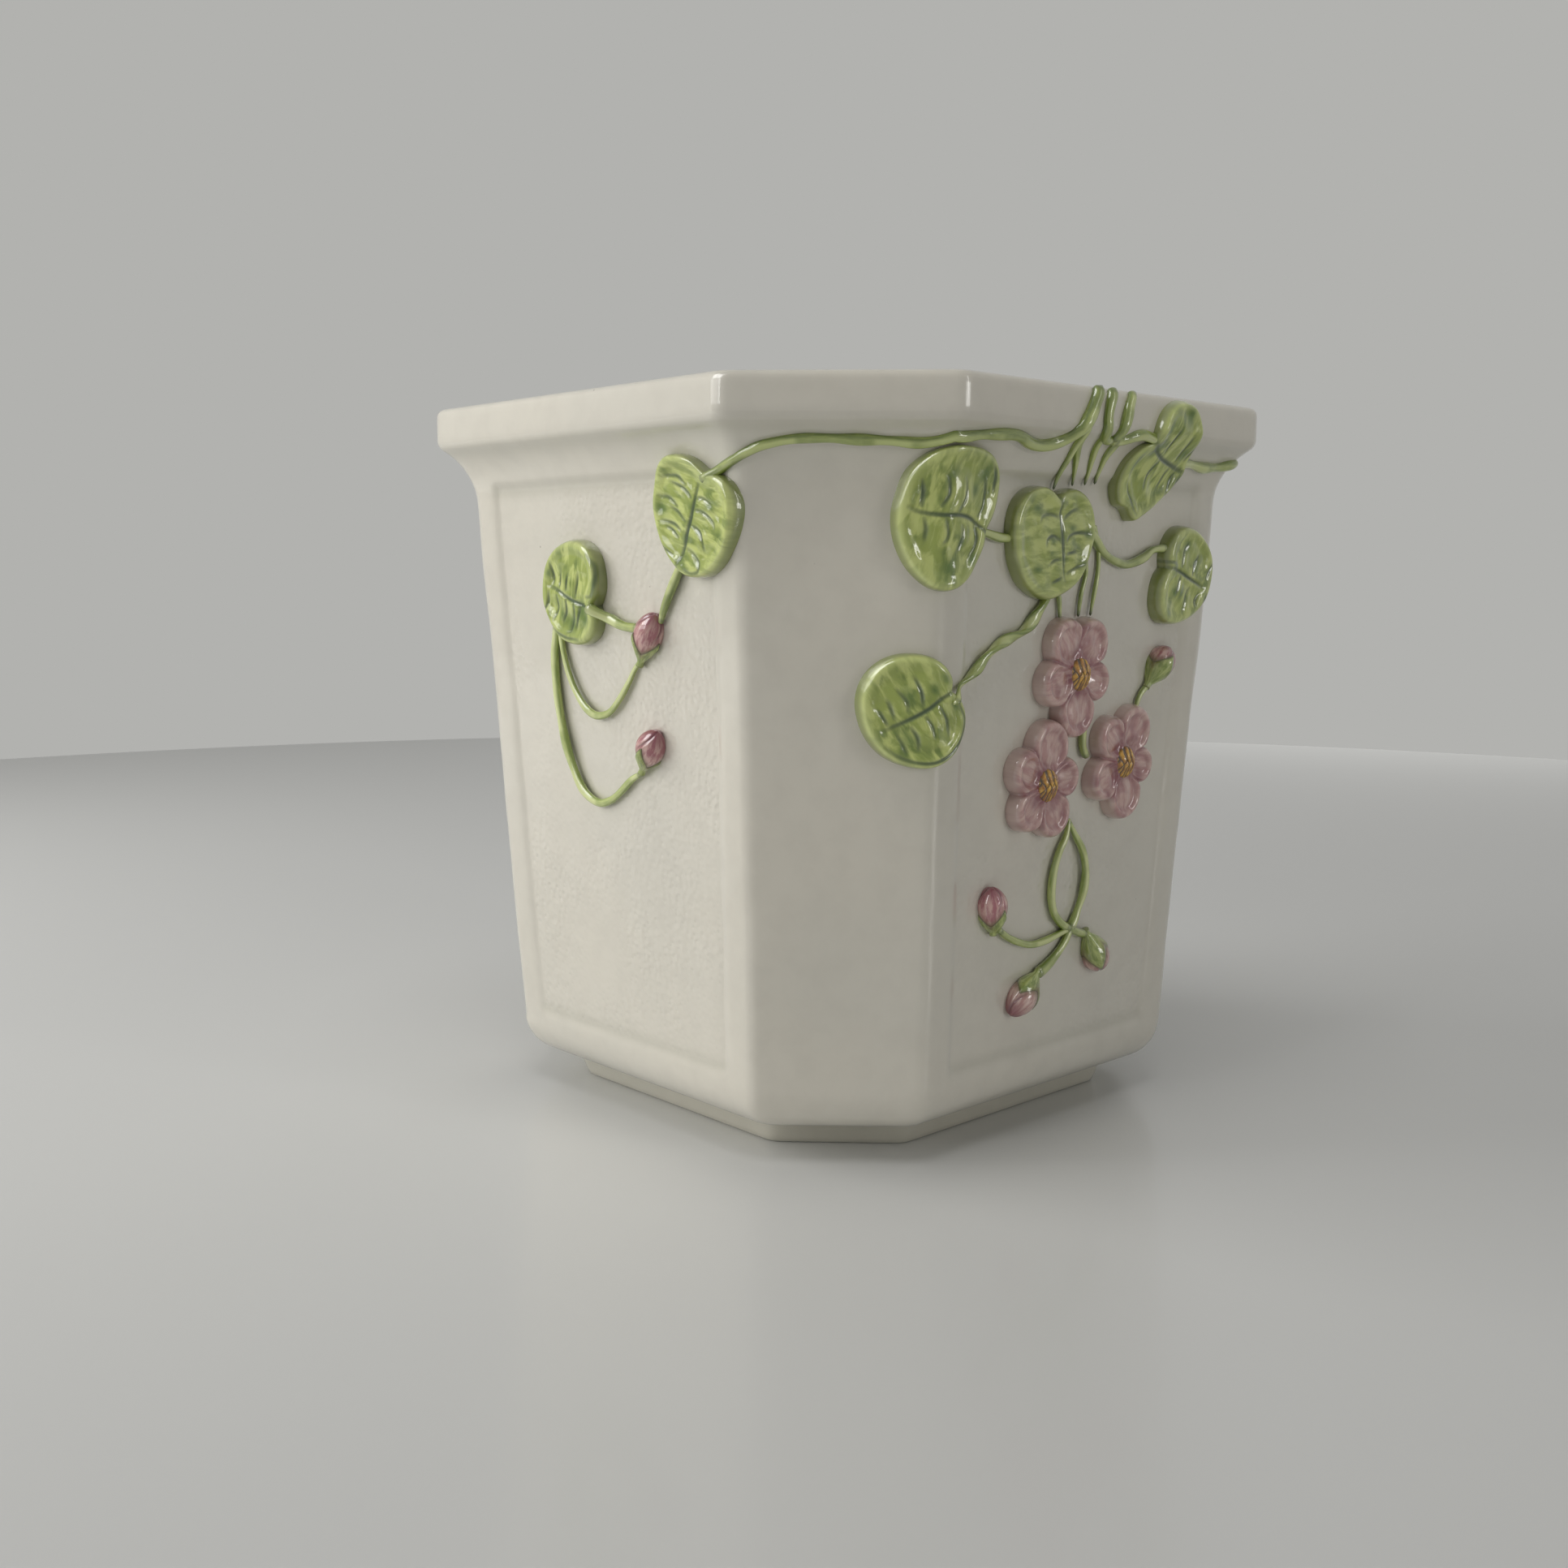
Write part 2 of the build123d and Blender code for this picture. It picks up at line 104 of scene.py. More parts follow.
def growth_of(p):
    """How far points lie outside the wall's rounded octagon at their height."""
    half = wall_half(np.minimum(p[..., 2], LIP_TOP))
    a = np.maximum(abs(p[..., 0]), abs(p[..., 1]))
    b = np.minimum(abs(p[..., 0]), abs(p[..., 1]))
    edge = half - CORNER
    diagonal = (1 + WIDE_SHARE) * half / ROOT - CORNER
    side = ROOT * diagonal - edge
    flat = np.maximum(a - edge, (a + b) / ROOT - diagonal)
    at_corner = (b > side) & (b - a < side - edge)
    return np.where(at_corner, np.hypot(a - edge, b - side), flat) - CORNER


def point(heading, across, z):
    """Point on a face before its corners are rounded: across is a share of half its width."""
    return on_faces(np.array([heading / 45 + across / 2]), np.array([float(z)]))[0]


def on_faces(places, z):
    """Points by place, which counts faces of 45 degrees with a whole number at a middle, and height."""
    face_number = np.floor(places + 0.5)
    across = 2 * (places - face_number)
    zr = np.minimum(z, LIP_TOP)
    growth = base_growth(z)
    half = wall_half(zr) + growth
    face = WIDE_SHARE * wall_half(zr) + TAN * growth
    wide = face_number % 2 == 0
    reach = np.where(wide, half, (half + face) / ROOT)
    side = np.where(wide, face, (half - face) / ROOT) * across
    turn = face_number * pi / 4
    x = reach * np.cos(turn) - side * np.sin(turn)
    y = reach * np.sin(turn) + side * np.cos(turn)
    return np.stack([x, y, z], -1)


def face_plane(heading, origin, turn=0.0, proud=0.0):
    """Origin, X, Y and normal of a plane on the leaning wall, X turned up from the horizontal."""
    aim, turn = radians(heading), radians(turn)
    normal = np.array([cos(aim) * cos(LEAN), sin(aim) * cos(LEAN), -sin(LEAN)])
    right = np.array([-sin(aim), cos(aim), 0])
    up = np.cross(normal, right)
    x = right * cos(turn) + up * sin(turn)
    return origin + proud * normal, x, np.cross(normal, x), normal


def miss(p, height, spread):
    """How far points lie above a height over the outside."""
    return growth_of(p) - base_growth(p[..., 2], spread) - height


def drape(plane, x, y, height, spread=0.0):
    """Points over places of a plane, at a height above the vessel's outside."""
    origin, dx, dy, normal = plane
    base = origin + x[..., None] * dx + y[..., None] * dy
    t = np.array(height, float)
    for _ in range(14):
        t = t - 0.95 * miss(base + t[..., None] * normal, height, spread)
    return base + t[..., None] * normal


def outward(p, spread=1.0, step=0.05):
    """Unit normals of the vessel's outside near points."""
    slopes = [miss(p + step * axis, 0, spread) - miss(p - step * axis, 0, spread) for axis in np.eye(3)]
    n = np.stack(slopes, -1)
    return n / np.linalg.norm(n, axis=-1, keepdims=True)


def settle(p, height, spread=1.0):
    """Points moved along the outside's normal to a height above it."""
    for _ in range(10):
        p = p - miss(p, height, spread)[..., None] * outward(p, spread) * 0.8
    return p


def smooth(low, high, x):
    """A smooth rise from 0 at low to 1 at high."""
    t = np.clip((x - low) / (high - low), 0, 1)
    return t * t * (3 - 2 * t)


def bell(x, width, power=2):
    """1 at zero, falling off smoothly on both sides."""
    return np.exp(-((x / width) ** power))


def seeded(name):
    """Random draws that follow from a piece's name alone."""
    return np.random.default_rng(sum(map(ord, name)))


def waves(p, size, seed, count=14):
    """Smooth noise of about unit height with bumps of a given size."""
    draw = np.random.default_rng(seed)
    out = np.zeros(p.shape[:-1])
    for _ in range(count):
        k = draw.normal(size=p.shape[-1])
        k *= 2 * pi / size * draw.uniform(0.55, 1.3) / np.linalg.norm(k)
        out += np.sin(p @ k + draw.uniform(0, 2 * pi))
    return out / sqrt(count / 2)


def waypoints(spots):
    """The way along a line at each of its points."""
    return np.concatenate([[0], np.cumsum(np.linalg.norm(np.diff(spots, axis=0), axis=1))])


def grid_faces(rows, columns):
    """Quads between rings of points."""
    r, c = np.meshgrid(np.arange(rows - 1), np.arange(columns), indexing="ij")
    n = (c + 1) % columns
    below, above = r * columns, (r + 1) * columns
    return np.stack([below + c, below + n, above + n, above + c], -1).reshape(-1, 4)


def closed_mesh(name, rows, start, end, material, slot, nodes, **marks):
    """A closed piece from rings of points and the two points that close its ends."""
    count, columns = rows.shape[:2]
    points = np.concatenate([rows.reshape(-1, 3), [start, end]])
    quads = grid_faces(count, columns)
    c = np.arange(columns)
    n = (c + 1) % columns
    first = np.stack([np.full(columns, count * columns), n, c], -1)
    last_row = (count - 1) * columns
    last = np.stack([np.full(columns, count * columns + 1), last_row + c, last_row + n], -1)
    triangles = np.concatenate([first, last, quads[:, :3], quads[:, [0, 2, 3]]])
    a, b, d = (points[triangles[:, k]] for k in range(3))
    if np.einsum("ij,ij->", a, np.cross(b, d)) < 0:
        quads, first, last = quads[:, ::-1], first[:, ::-1], last[:, ::-1]
    mesh = bpy.data.meshes.new(name)
    mesh.from_pydata((points * MM).tolist(), [], quads.tolist() + first.tolist() + last.tolist())
    mesh.polygons.foreach_set("use_smooth", [True] * len(mesh.polygons))
    for mark, values in marks.items():
        values = np.asarray(values, float)
        vector = values.ndim == 3
        flat = values.reshape(-1, 3) if vector else values.reshape(-1)
        ends = [values[0].mean(0), values[-1].mean(0)]
        flat = np.concatenate([flat, np.array(ends).reshape(-1, 3) if vector else ends])
        layer = mesh.attributes.new(mark, "FLOAT_VECTOR" if vector else "FLOAT", "POINT")
        layer.data.foreach_set("vector" if vector else "value", flat.astype(np.float32).ravel())
    mesh.materials.append(material)
    mesh.update()
    piece = bpy.data.objects.new(name, mesh)
    bpy.context.scene.collection.objects.link(piece)
    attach(piece, "root")
    if nodes:
        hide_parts(*nodes)
    return piece


# Materials


# The coloured glazes are rich in lead, which makes them shine more than the white
PAINT_COAT = 1.7
# Depths in metres: the glaze's slow waves, its orange peel, the hammered panels and the brush strokes
SLOW_DEPTH, PEEL_DEPTH, HAMMER_DEPTH, STROKE_DEPTH = 0.0005, 0.00004, 0.0005, 0.0001


def linear(*colour):
    """A colour written as 0 to 255, as shader values."""
    return tuple(((c / 255 + 0.055) / 1.055) ** 2.4 if c > 10 else c / 255 / 12.92 for c in colour)


class Paint:
    """A material's node tree with short calls, where colours are written as 0 to 255."""

    def __init__(self, name):
        self.material = bpy.data.materials.new(name)
        self.material.use_nodes = True
        self.tree = self.material.node_tree
        self.shader = self.tree.nodes["Principled BSDF"]
        self.place = self.node("ShaderNodeTexCoord").outputs["Object"]

    def node(self, kind, inputs=(), **settings):
        """A new node with its settings and inputs."""
        made = self.tree.nodes.new(kind)
        for key, value in settings.items():
            setattr(made, key, value)
        for key, value in dict(inputs).items():
            self.put(made.inputs[key], value)
        return made

    def put(self, socket, value):
        """Links a socket to another or gives it a plain value."""
        if isinstance(value, bpy.types.NodeSocket):
            self.tree.links.new(value, socket)
        elif socket.type == "RGBA":
            socket.default_value = (*linear(*value), 1)
        else:
            socket.default_value = value

    def mark(self, name, output="Fac"):
        return self.node("ShaderNodeAttribute", attribute_name=name).outputs[output]

    def times(self, a, b, operation="MULTIPLY"):
        """The product of two values, or what another operation makes of them."""
        return self.node("ShaderNodeMath", {0: a, 1: b}, operation=operation).outputs[0]

    def noise(self, scale, detail=3.0, roughness=0.5, distortion=0.0, spot=None):
        """Noise over the piece in metres or, with a factor per axis, over its spot mark in millimetres."""
        place = self.place
        if spot:
            inputs = {0: self.mark("spot", "Vector"), 1: spot}
            place = self.node("ShaderNodeVectorMath", inputs, operation="MULTIPLY").outputs[0]
        inputs = {"Vector": place, "Scale": scale, "Detail": detail, "Roughness": roughness,
                  "Distortion": distortion}
        return self.node("ShaderNodeTexNoise", inputs).outputs["Fac"]

    def cells(self, scale, feature="F1"):
        inputs = {"Vector": self.place, "Scale": scale}
        return self.node("ShaderNodeTexVoronoi", inputs, feature=feature).outputs

    def span(self, value, low, high, to_low=0.0, to_high=1.0):
        """A value spread smoothly from one range to another."""
        inputs = {"Value": value, "From Min": low, "From Max": high, "To Min": to_low, "To Max": to_high}
        return self.node("ShaderNodeMapRange", inputs, interpolation_type="SMOOTHSTEP").outputs["Result"]

    def mix(self, factor, a, b):
        made = self.node("ShaderNodeMix", data_type="RGBA", clamp_factor=True)
        for number, value in ((0, factor), (6, a), (7, b)):
            self.put(made.inputs[number], value)
        return made.outputs[2]

    def brush(self, colour, mark, share, tint):
        """A tint laid over the colour where a mark says."""
        return self.mix(self.times(self.mark(mark), share), colour, tint)

    def bump(self, height, distance, strength=0.6, normal=None):
        inputs = {"Height": height, "Distance": distance, "Strength": strength}
        if normal is not None:
            inputs["Normal"] = normal
        return self.node("ShaderNodeBump", inputs).outputs["Normal"]

    def skin(self):
        """The glaze's own slow waves and fine orange peel."""
        slow = self.bump(self.noise(70, 1.5), SLOW_DEPTH)
        return self.bump(self.noise(600, 2), PEEL_DEPTH, normal=slow)

    def finish(self, colour, normal, coat_normal, roughness=0.32, coat=1.0, coat_roughness=0.035,
               coat_index=1.5):
        settings = {"Base Color": colour, "Roughness": roughness, "Normal": normal, "Coat Weight": coat,
                    "Coat Roughness": coat_roughness, "Coat IOR": coat_index, "Coat Normal": coat_normal}
        for key, value in settings.items():
            if value is not None:
                self.put(self.shader.inputs[key], value)
        return self.material

    def glaze(self, colour, roughness=0.32):
        """The finish of a coloured glaze."""
        skin = self.skin()
        return self.finish(colour, skin, skin, roughness, coat_index=PAINT_COAT)


def white_glaze():
    paint = Paint("white_glaze")
    colour = paint.mix(paint.span(paint.noise(14, 4), 0.35, 0.65), (226, 221, 208), (222, 218, 206))
    mottle = paint.span(paint.noise(150), 0.35, 0.75)
    colour = paint.mix(paint.times(mottle, 0.22), colour, (207, 202, 190))
    # Painted shade: darker glaze along the panels' edges and ends and under the rim's lip, and a darker foot
    colour = paint.brush(colour, "fold", 0.4, (184, 182, 166))
    cell = paint.cells(75)
    speck = paint.span(cell["Distance"], 0.016, 0.028, 1.0, 0.0)
    pick = paint.node("ShaderNodeSeparateColor", {0: cell["Color"]}).outputs[0]
    speck = paint.times(speck, paint.times(pick, 0.74, "GREATER_THAN"))
    colour = paint.mix(paint.times(speck, 0.5), colour, (112, 100, 84))
    hammered = paint.cells(560, "SMOOTH_F1")["Distance"]
    uneven = paint.span(paint.noise(20, 2), 0.4, 0.62, 0.15, 1.0)
    depth = paint.times(paint.times(hammered, uneven), paint.mark("panel"))
    normal = paint.bump(depth, HAMMER_DEPTH, normal=paint.skin())
    return paint.finish(colour, normal, normal, 0.3)


def leaf_green():
    paint = Paint("leaf_green")
    along = (1.0, 0.34, 1.0)
    strokes = paint.noise(0.42, 4, 0.5, 0.5, along)
    clouds = paint.noise(0.13, 2, spot=(1, 1, 1))
    colour = paint.mix(paint.span(strokes, 0.36, 0.6), (204, 215, 122), (160, 176, 74))
    deep = paint.times(paint.span(clouds, 0.45, 0.66), paint.span(strokes, 0.4, 0.64))
    colour = paint.mix(paint.times(deep, 0.85), colour, (98, 124, 24))
    colour = paint.brush(colour, "wash", paint.span(strokes, 0.2, 0.55, 0.55, 1.0), (92, 122, 24))
    rolled = paint.span(paint.mark("edge"), 3.2, 0.6)
    colour = paint.mix(paint.times(rolled, 0.55), colour, (216, 226, 148))
    # The steep side wall is painted a darker grey-green: thinner paint there, and painted shade
    colour = paint.brush(colour, "side", 0.8, (126, 136, 78))
    colour = paint.brush(colour, "vein", 1.0, (46, 76, 4))
    skin = paint.skin()
    fine = paint.bump(paint.noise(0.9, 4, spot=along), STROKE_DEPTH, 0.5, skin)
    return paint.finish(colour, fine, skin, coat_index=PAINT_COAT)


def stem_green():
    paint = Paint("stem_green")
    tone = paint.mark("tone")
    pale = paint.mix(tone, (196, 208, 130), (220, 228, 160))
    mid = paint.mix(tone, (138, 156, 64), (182, 196, 108))
    dark = paint.mix(tone, (94, 114, 30), (134, 156, 58))
    strokes = paint.noise(0.5, 4, 0.6, spot=(0.25, 1.0, 1.0))
    clouds = paint.noise(0.12, 2, spot=(1.0, 0.1, 1.0))
    body = paint.mix(paint.span(strokes, 0.34, 0.62), mid, dark)
    crest = paint.times(paint.span(paint.mark("crest"), 0.0, 0.8), paint.span(clouds, 0.64, 0.4, 0.35, 1.0))
    return paint.glaze(paint.brush(paint.mix(crest, body, pale), "nick", 1.0, (60, 78, 28)))


def petal_pink():
    paint = Paint("petal_pink")
    dark, deep = (154, 92, 100), (130, 50, 66)
    strokes = paint.noise(0.5, 4, 0.6, 0.4, (0.3, 1.0, 1.0))
    clouds = paint.noise(0.16, 2, spot=(1, 1, 1))
    colour = paint.mix(paint.span(strokes, 0.34, 0.66), (222, 190, 180), (196, 148, 144))
    colour = paint.mix(paint.times(paint.span(clouds, 0.5, 0.7), 0.7), colour, dark)
    # Painted shade: darker rose in the creases between the petals and at the foot of each petal's rim
    colour = paint.brush(colour, "crease", paint.span(strokes, 0.25, 0.6, 0.55, 1.0), dark)
    colour = paint.brush(colour, "centre", paint.span(strokes, 0.3, 0.65, 0.4, 1.0), deep)
    colour = paint.brush(colour, "wash", 0.8, deep)
    return paint.glaze(paint.brush(colour, "side", 0.7, (206, 184, 178)))


def centre_ochre():
    paint = Paint("centre_ochre")
    gold = paint.mix(paint.span(paint.noise(520), 0.35, 0.65), (242, 186, 48), (176, 112, 8))
    return paint.glaze(paint.brush(gold, "line", 1.0, (40, 18, 2)), 0.3)


def bud_rose():
    paint = Paint("bud_rose")
    strokes = paint.noise(0.8, 4, 0.6, spot=(0.3, 1.0, 1.0))
    rose = paint.mark("rose")
    deep = paint.mix(rose, (192, 152, 142), (176, 104, 114))
    light = paint.mix(rose, (222, 194, 182), (222, 180, 172))
    colour = paint.mix(paint.span(strokes, 0.38, 0.62), light, deep)
    colour = paint.brush(colour, "tip", 0.85, (134, 50, 70))
    colour = paint.brush(colour, "line", 0.85, (112, 38, 56))
    return paint.glaze(paint.brush(colour, "wash", 0.9, (112, 96, 40)), 0.3)


def calyx_green():
    paint = Paint("calyx_green")
    strokes = paint.noise(0.8, 4, 0.6, spot=(0.4, 1.0, 1.0))
    colour = paint.mix(paint.span(strokes, 0.34, 0.66), (188, 200, 118), (124, 146, 50))
    colour = paint.brush(colour, "wash", 0.85, (112, 88, 52))
    return paint.glaze(paint.brush(colour, "edge", 0.8, (82, 70, 36)))


WHITE, LEAF, STEM, PETAL, CENTRE, BUD, CALYX = (
    white_glaze(), leaf_green(), stem_green(), petal_pink(), centre_ochre(), bud_rose(), calyx_green())


# Vessel

WIDE_STEPS, NARROW_STEPS, CORNER_STEPS = 72, 20, 7
# Half the width that is left open at the middle of the floors, where one point closes the mesh
MIDDLE = 6.0
# How far the glaze rounds each edge, and the step of the path that it is rounded along
GLAZE_ROUND, FINE = 0.7, 0.2
# Rows per millimetre of the path, and the weights of any place, a bend, the outer wall and a panel's end
ROW_DENSITY, ANY_WEIGHT, BEND_WEIGHT, WALL_WEIGHT, END_WEIGHT = 0.61, 0.45, 1.6, 0.25, 1.6
# Height, length and seed of the waves that casting left
CASTING_WAVES = ((0.12, 42, 3), (0.05, 17, 5))
# Over what depth a panel's edge goes in, and how strongly shade is painted along its sides, at its ends and
# under the lip
PANEL_STEP = (-1.3, 2.4)
SIDE_SHADE, END_SHADE, LIP_SHADE = 0.12, 0.8, 0.6


def ring_places():
    """Per column: side number, share along it from -1 to 1, and share of the corner's turn after it."""
    columns = []
    packed = eased(WIDE_STEPS, 1 - PANEL_BORDER / 56)
    for side in range(8):
        shares = np.linspace(-1, 1, NARROW_STEPS + 1) if side % 2 else packed
        columns += [(side, share, 0.0) for share in shares]
        columns += [(side, 1.0, turn) for turn in np.linspace(0, 1, CORNER_STEPS + 1)[1:-1]]
    return np.array(columns).T


def eased(count, gaps):
    """Shares from -1 to 1 that are closer together near +-gaps."""
    x = np.linspace(-1, 1, 4001)
    cumulative = np.cumsum(1 + 3.5 * bell(abs(x) - gaps, 0.035))
    cumulative = (cumulative - cumulative[0]) / (cumulative[-1] - cumulative[0])
    return np.interp(np.linspace(0, 1, count + 1), cumulative, x)


def vessel_path():
    """The profile from the middle below to the middle inside: height, half width and half wide face,
    and whether it is the outer wall."""
    path = []

    def plain(z, half):
        path.append((z, half, WIDE_SHARE * half, 0))

    def grown(z, growth, base=None, zone=0):
        """A place that stands out from the wall planes of its own height or of a base height."""
        half = wall_half(z if base is None else base)
        path.append((z, half + growth, WIDE_SHARE * half + TAN * growth, zone))

    recess = FOOT / 2 - FOOT_RING
    for half in np.linspace(MIDDLE, recess, 12):
        plain(FOOT_RECESS, half)
    for z in np.linspace(FOOT_RECESS, 0, 5):
        plain(z, recess)
    for half in np.linspace(recess, FOOT / 2, 8):
        plain(0, half)
    for z in np.linspace(0, FOOT_HEIGHT, 10):
        plain(z, FOOT / 2 + (FOOT_TOP - FOOT) / 2 * z / FOOT_HEIGHT)
    for t in np.linspace(0, pi / 2, 24):
        grown(FOOT_HEIGHT + BASE_ROUND * (1 - cos(t)), BASE_ROUND * (sin(t) - 1))
    for z in np.linspace(FOOT_HEIGHT + BASE_ROUND, TOTAL - RIM_EDGE, 900):
        grown(z, float(base_growth(z)), min(z, LIP_TOP), 1)
    inner = BAND - RIM_LEDGE
    for t in np.linspace(0, pi / 2, 12):
        grown(TOTAL - RIM_EDGE * (1 - sin(t)), BAND - RIM_EDGE * (1 - cos(t)), LIP_TOP)
    for growth in np.linspace(BAND - RIM_EDGE, inner + RIM_EDGE, 12):
        grown(TOTAL, growth, LIP_TOP)
    for t in np.linspace(0, pi / 2, 12):
        grown(TOTAL - RIM_EDGE * (1 - cos(t)), inner + RIM_EDGE * (1 - sin(t)), LIP_TOP)
    for z in np.linspace(TOTAL - RIM_EDGE, LIP_TOP, 12):
        grown(z, inner, LIP_TOP)
    for z in np.linspace(LIP_TOP, COVE_BOTTOM, 16):
        s = (LIP_TOP - z) / (LIP_TOP - COVE_BOTTOM)
        grown(z, inner * (1 - s) - WALL * s)
    for z in np.linspace(COVE_BOTTOM, FLOOR + FLOOR_ROUND, 120):
        grown(z, -WALL)
    for t in np.linspace(pi / 2, 0, 14):
        grown(FLOOR + FLOOR_ROUND * (1 - cos(t)), FLOOR_ROUND * (sin(t) - 1) - WALL)
    for half in np.linspace(wall_half(FLOOR) - FLOOR_ROUND - WALL, MIDDLE, 24):
        plain(FLOOR, half)
    return np.array(path)


def glazed_rows(path):
    """The path with every edge rounded by the glaze, and with more rows where it bends or a panel ends."""
    length = waypoints(path[:, :2])
    fine = np.arange(0, length[-1], FINE)
    fine_path = np.stack([np.interp(fine, length, path[:, k]) for k in range(4)], -1)
    kernel = bell(np.arange(-8, 9) * FINE, GLAZE_ROUND)
    kernel /= kernel.sum()
    rounded = fine_path.copy()
    for k in range(3):
        rounded[8:-8, k] = np.convolve(fine_path[:, k], kernel, mode="valid")
    bend = sum(abs(np.gradient(np.gradient(rounded[:, k], FINE), FINE)) for k in range(2))
    near_edge = sum(bell(rounded[:, 0] - z, 2.5) for z in (PANEL_GAP, TOTAL - PANEL_GAP))
    on_wall = rounded[:, 3] > 0.5
    weight = ANY_WEIGHT + np.minimum(bend * 5, BEND_WEIGHT)
    weight += np.where(on_wall, WALL_WEIGHT + near_edge * END_WEIGHT, 0)
    cumulative = np.cumsum(weight)
    count = int(cumulative[-1] * FINE * ROW_DENSITY)
    numbers = np.arange(len(fine))
    picks = np.interp(np.linspace(cumulative[0], cumulative[-1], count), cumulative, numbers)
    return [np.interp(picks, numbers, rounded[:, k])[:, None] for k in range(4)]


def round_octagon(side, share, turn, half, face):
    """Places round the octagon by half its width and half its wide face: X, Y, the way out and across."""
    corner = np.minimum(CORNER, 0.5 * face)
    wide = side % 2 == 0
    reach = np.where(wide, half, (half + face) / ROOT)
    side_half = np.where(wide, face, (half - face) / ROOT) - corner * TAN
    across = share * side_half
    angle = side * pi / 4
    swing = angle + turn * pi / 4
    out_x, out_y = np.cos(swing), np.sin(swing)
    x = reach * np.cos(angle) - across * np.sin(angle)
    y = reach * np.sin(angle) + across * np.cos(angle)
    arc_x = (reach - corner) * np.cos(angle) - side_half * np.sin(angle) + corner * out_x
    arc_y = (reach - corner) * np.sin(angle) + side_half * np.cos(angle) + corner * out_y
    return np.where(turn > 0, arc_x, x), np.where(turn > 0, arc_y, y), out_x, out_y, across


def panel_places(z, across):
    """How far places of a wide face lie inside a panel's outline, and from its sides and its ends."""
    from_side = WIDE_SHARE * wall_half(z) - PANEL_BORDER - abs(across)
    from_ends = np.minimum(z - PANEL_GAP, TOTAL - PANEL_GAP - z)
    past_side, past_end = PANEL_CORNER - from_side, PANEL_CORNER - from_ends
    rounded = PANEL_CORNER - np.hypot(past_side, past_end)
    inside = np.where((past_side > 0) & (past_end > 0), rounded, np.minimum(from_side, from_ends))
    return inside, from_side, from_ends


def vessel():
    """The whole vessel, outside and inside, as one closed mesh."""
    side, share, turn = ring_places()
    z, half, face, zone = glazed_rows(vessel_path())
    x, y, out_x, out_y, across = round_octagon(side, share, turn, half, face)
    z = np.broadcast_to(z, x.shape)
    inside, from_side, from_ends = panel_places(z, across)
    outer = zone > 0.5
    on_face = (side % 2 == 0) * outer * ~(turn > 0)
    p = np.stack([x, y, z], -1)
    sway = sum(height * waves(p, length, seed) for height, length, seed in CASTING_WAVES)
    sway *= smooth(0, 14, z) * smooth(LIP_TOP, LIP_TOP - 8, z)
    push = smooth(*PANEL_STEP, inside) * on_face * (-PANEL_DEPTH - base_growth(z)) + outer * sway
    p[..., 0] += push * out_x
    p[..., 1] += push * out_y
    # Shade painted into the glaze along the panels' edges, at their ends and under the lip, and the foot
    # painted darker
    panel_edge = bell(inside - 1.6, 1.1) * on_face
    panel_end = bell(from_ends - 2.0, 2.2) * smooth(-1, 2, from_side) * on_face
    under_lip = bell(z - RIM_BOTTOM + 1.5, 2.0) * outer
    foot = smooth(FOOT_HEIGHT + 2, FOOT_HEIGHT - 1, z)
    fold = np.clip(SIDE_SHADE * panel_edge + END_SHADE * panel_end + LIP_SHADE * under_lip + foot, 0, 1)
    start, end = np.array([0, 0, FOOT_RECESS]), np.array([0, 0, FLOOR])
    closed_mesh("vessel", p, start, end, WHITE, "white_glaze", ["pot_body"],
                panel=smooth(0.5, 3.0, inside) * on_face, fold=fold)


vessel()


# Shared by the sprigs


def bent(points, steps):
    """A smooth line through points, with a number of steps from each to the next."""
    points = np.array(points, float)
    padded = np.concatenate([[2 * points[0] - points[1]], points, [2 * points[-1] - points[-2]]])
    t = np.linspace(0, 1, steps, endpoint=False)[:, None]
    out = []
    for p0, p1, p2, p3 in zip(padded, padded[1:], padded[2:], padded[3:]):
        out.append(0.5 * (2 * p1 + (p2 - p0) * t + (2 * p0 - 5 * p1 + 4 * p2 - p3) * t**2
                          + (3 * p1 - p0 - 3 * p2 + p3) * t**3))
    return np.concatenate(out + [points[-1:]])


def evened(line, along, even):
    """The points of a flat line at even ways along it."""
    return np.stack([np.interp(even, along, line[:, k]) for k in range(2)], -1)


def curve_through(points, step, closed=False):
    """A smooth line through points, closed back to the first point with a corner there."""
    line = bent(points + points[:1] if closed else points, 12)
    along = waypoints(line)
    return evened(line, along, np.linspace(0, along[-1], max(4, int(along[-1] / step))))


def near_line(x, y, line):
    """Distance from points to a polyline, and how far along it as a share."""
    best = np.full(x.shape, 1e9)
    where = np.zeros(x.shape)
    count = len(line) - 1
    for k in range(count):
        ax, ay = line[k]
        bx, by = line[k + 1]
        dx, dy = bx - ax, by - ay
        t = np.clip(((x - ax) * dx + (y - ay) * dy) / (dx * dx + dy * dy + 1e-12), 0, 1)
        d = np.hypot(x - ax - t * dx, y - ay - t * dy)
        closer = d < best
        best = np.where(closer, d, best)
        where = np.where(closer, (k + t) / count, where)
    return best, where


def fan(radius, theta, inner, coarse, fine):
    """Places from a middle out to a line around it, closer together beyond an inner share of the way, and
    how far inside the line each lies."""
    outer_shares = 1 - (1 - inner) * np.linspace(1, 0, fine) ** 1.5
    shares = np.concatenate([np.linspace(0.02, inner, coarse, endpoint=False), outer_shares])[:, None]
    x = shares * radius * np.cos(theta)
    y = shares * radius * np.sin(theta)
    line = np.stack([radius * np.cos(theta), radius * np.sin(theta)], -1)
    edge, _ = near_line(x, y, np.concatenate([line, line[:1]]))
    return x, y, edge


def rolled(depth, shoulder, power):
    """A share of the height that rises from an edge like a rolled rim."""
    return (1 - (1 - np.clip(depth / shoulder, 0, 1)) ** power) ** (1 / power)


def laid_out(x, y, draw):
    """Places for the paint's noise in millimetres, shifted at random."""
    return np.stack([x, y, 0 * x], -1) + np.array([*draw.uniform(0, 500, 2), 0])


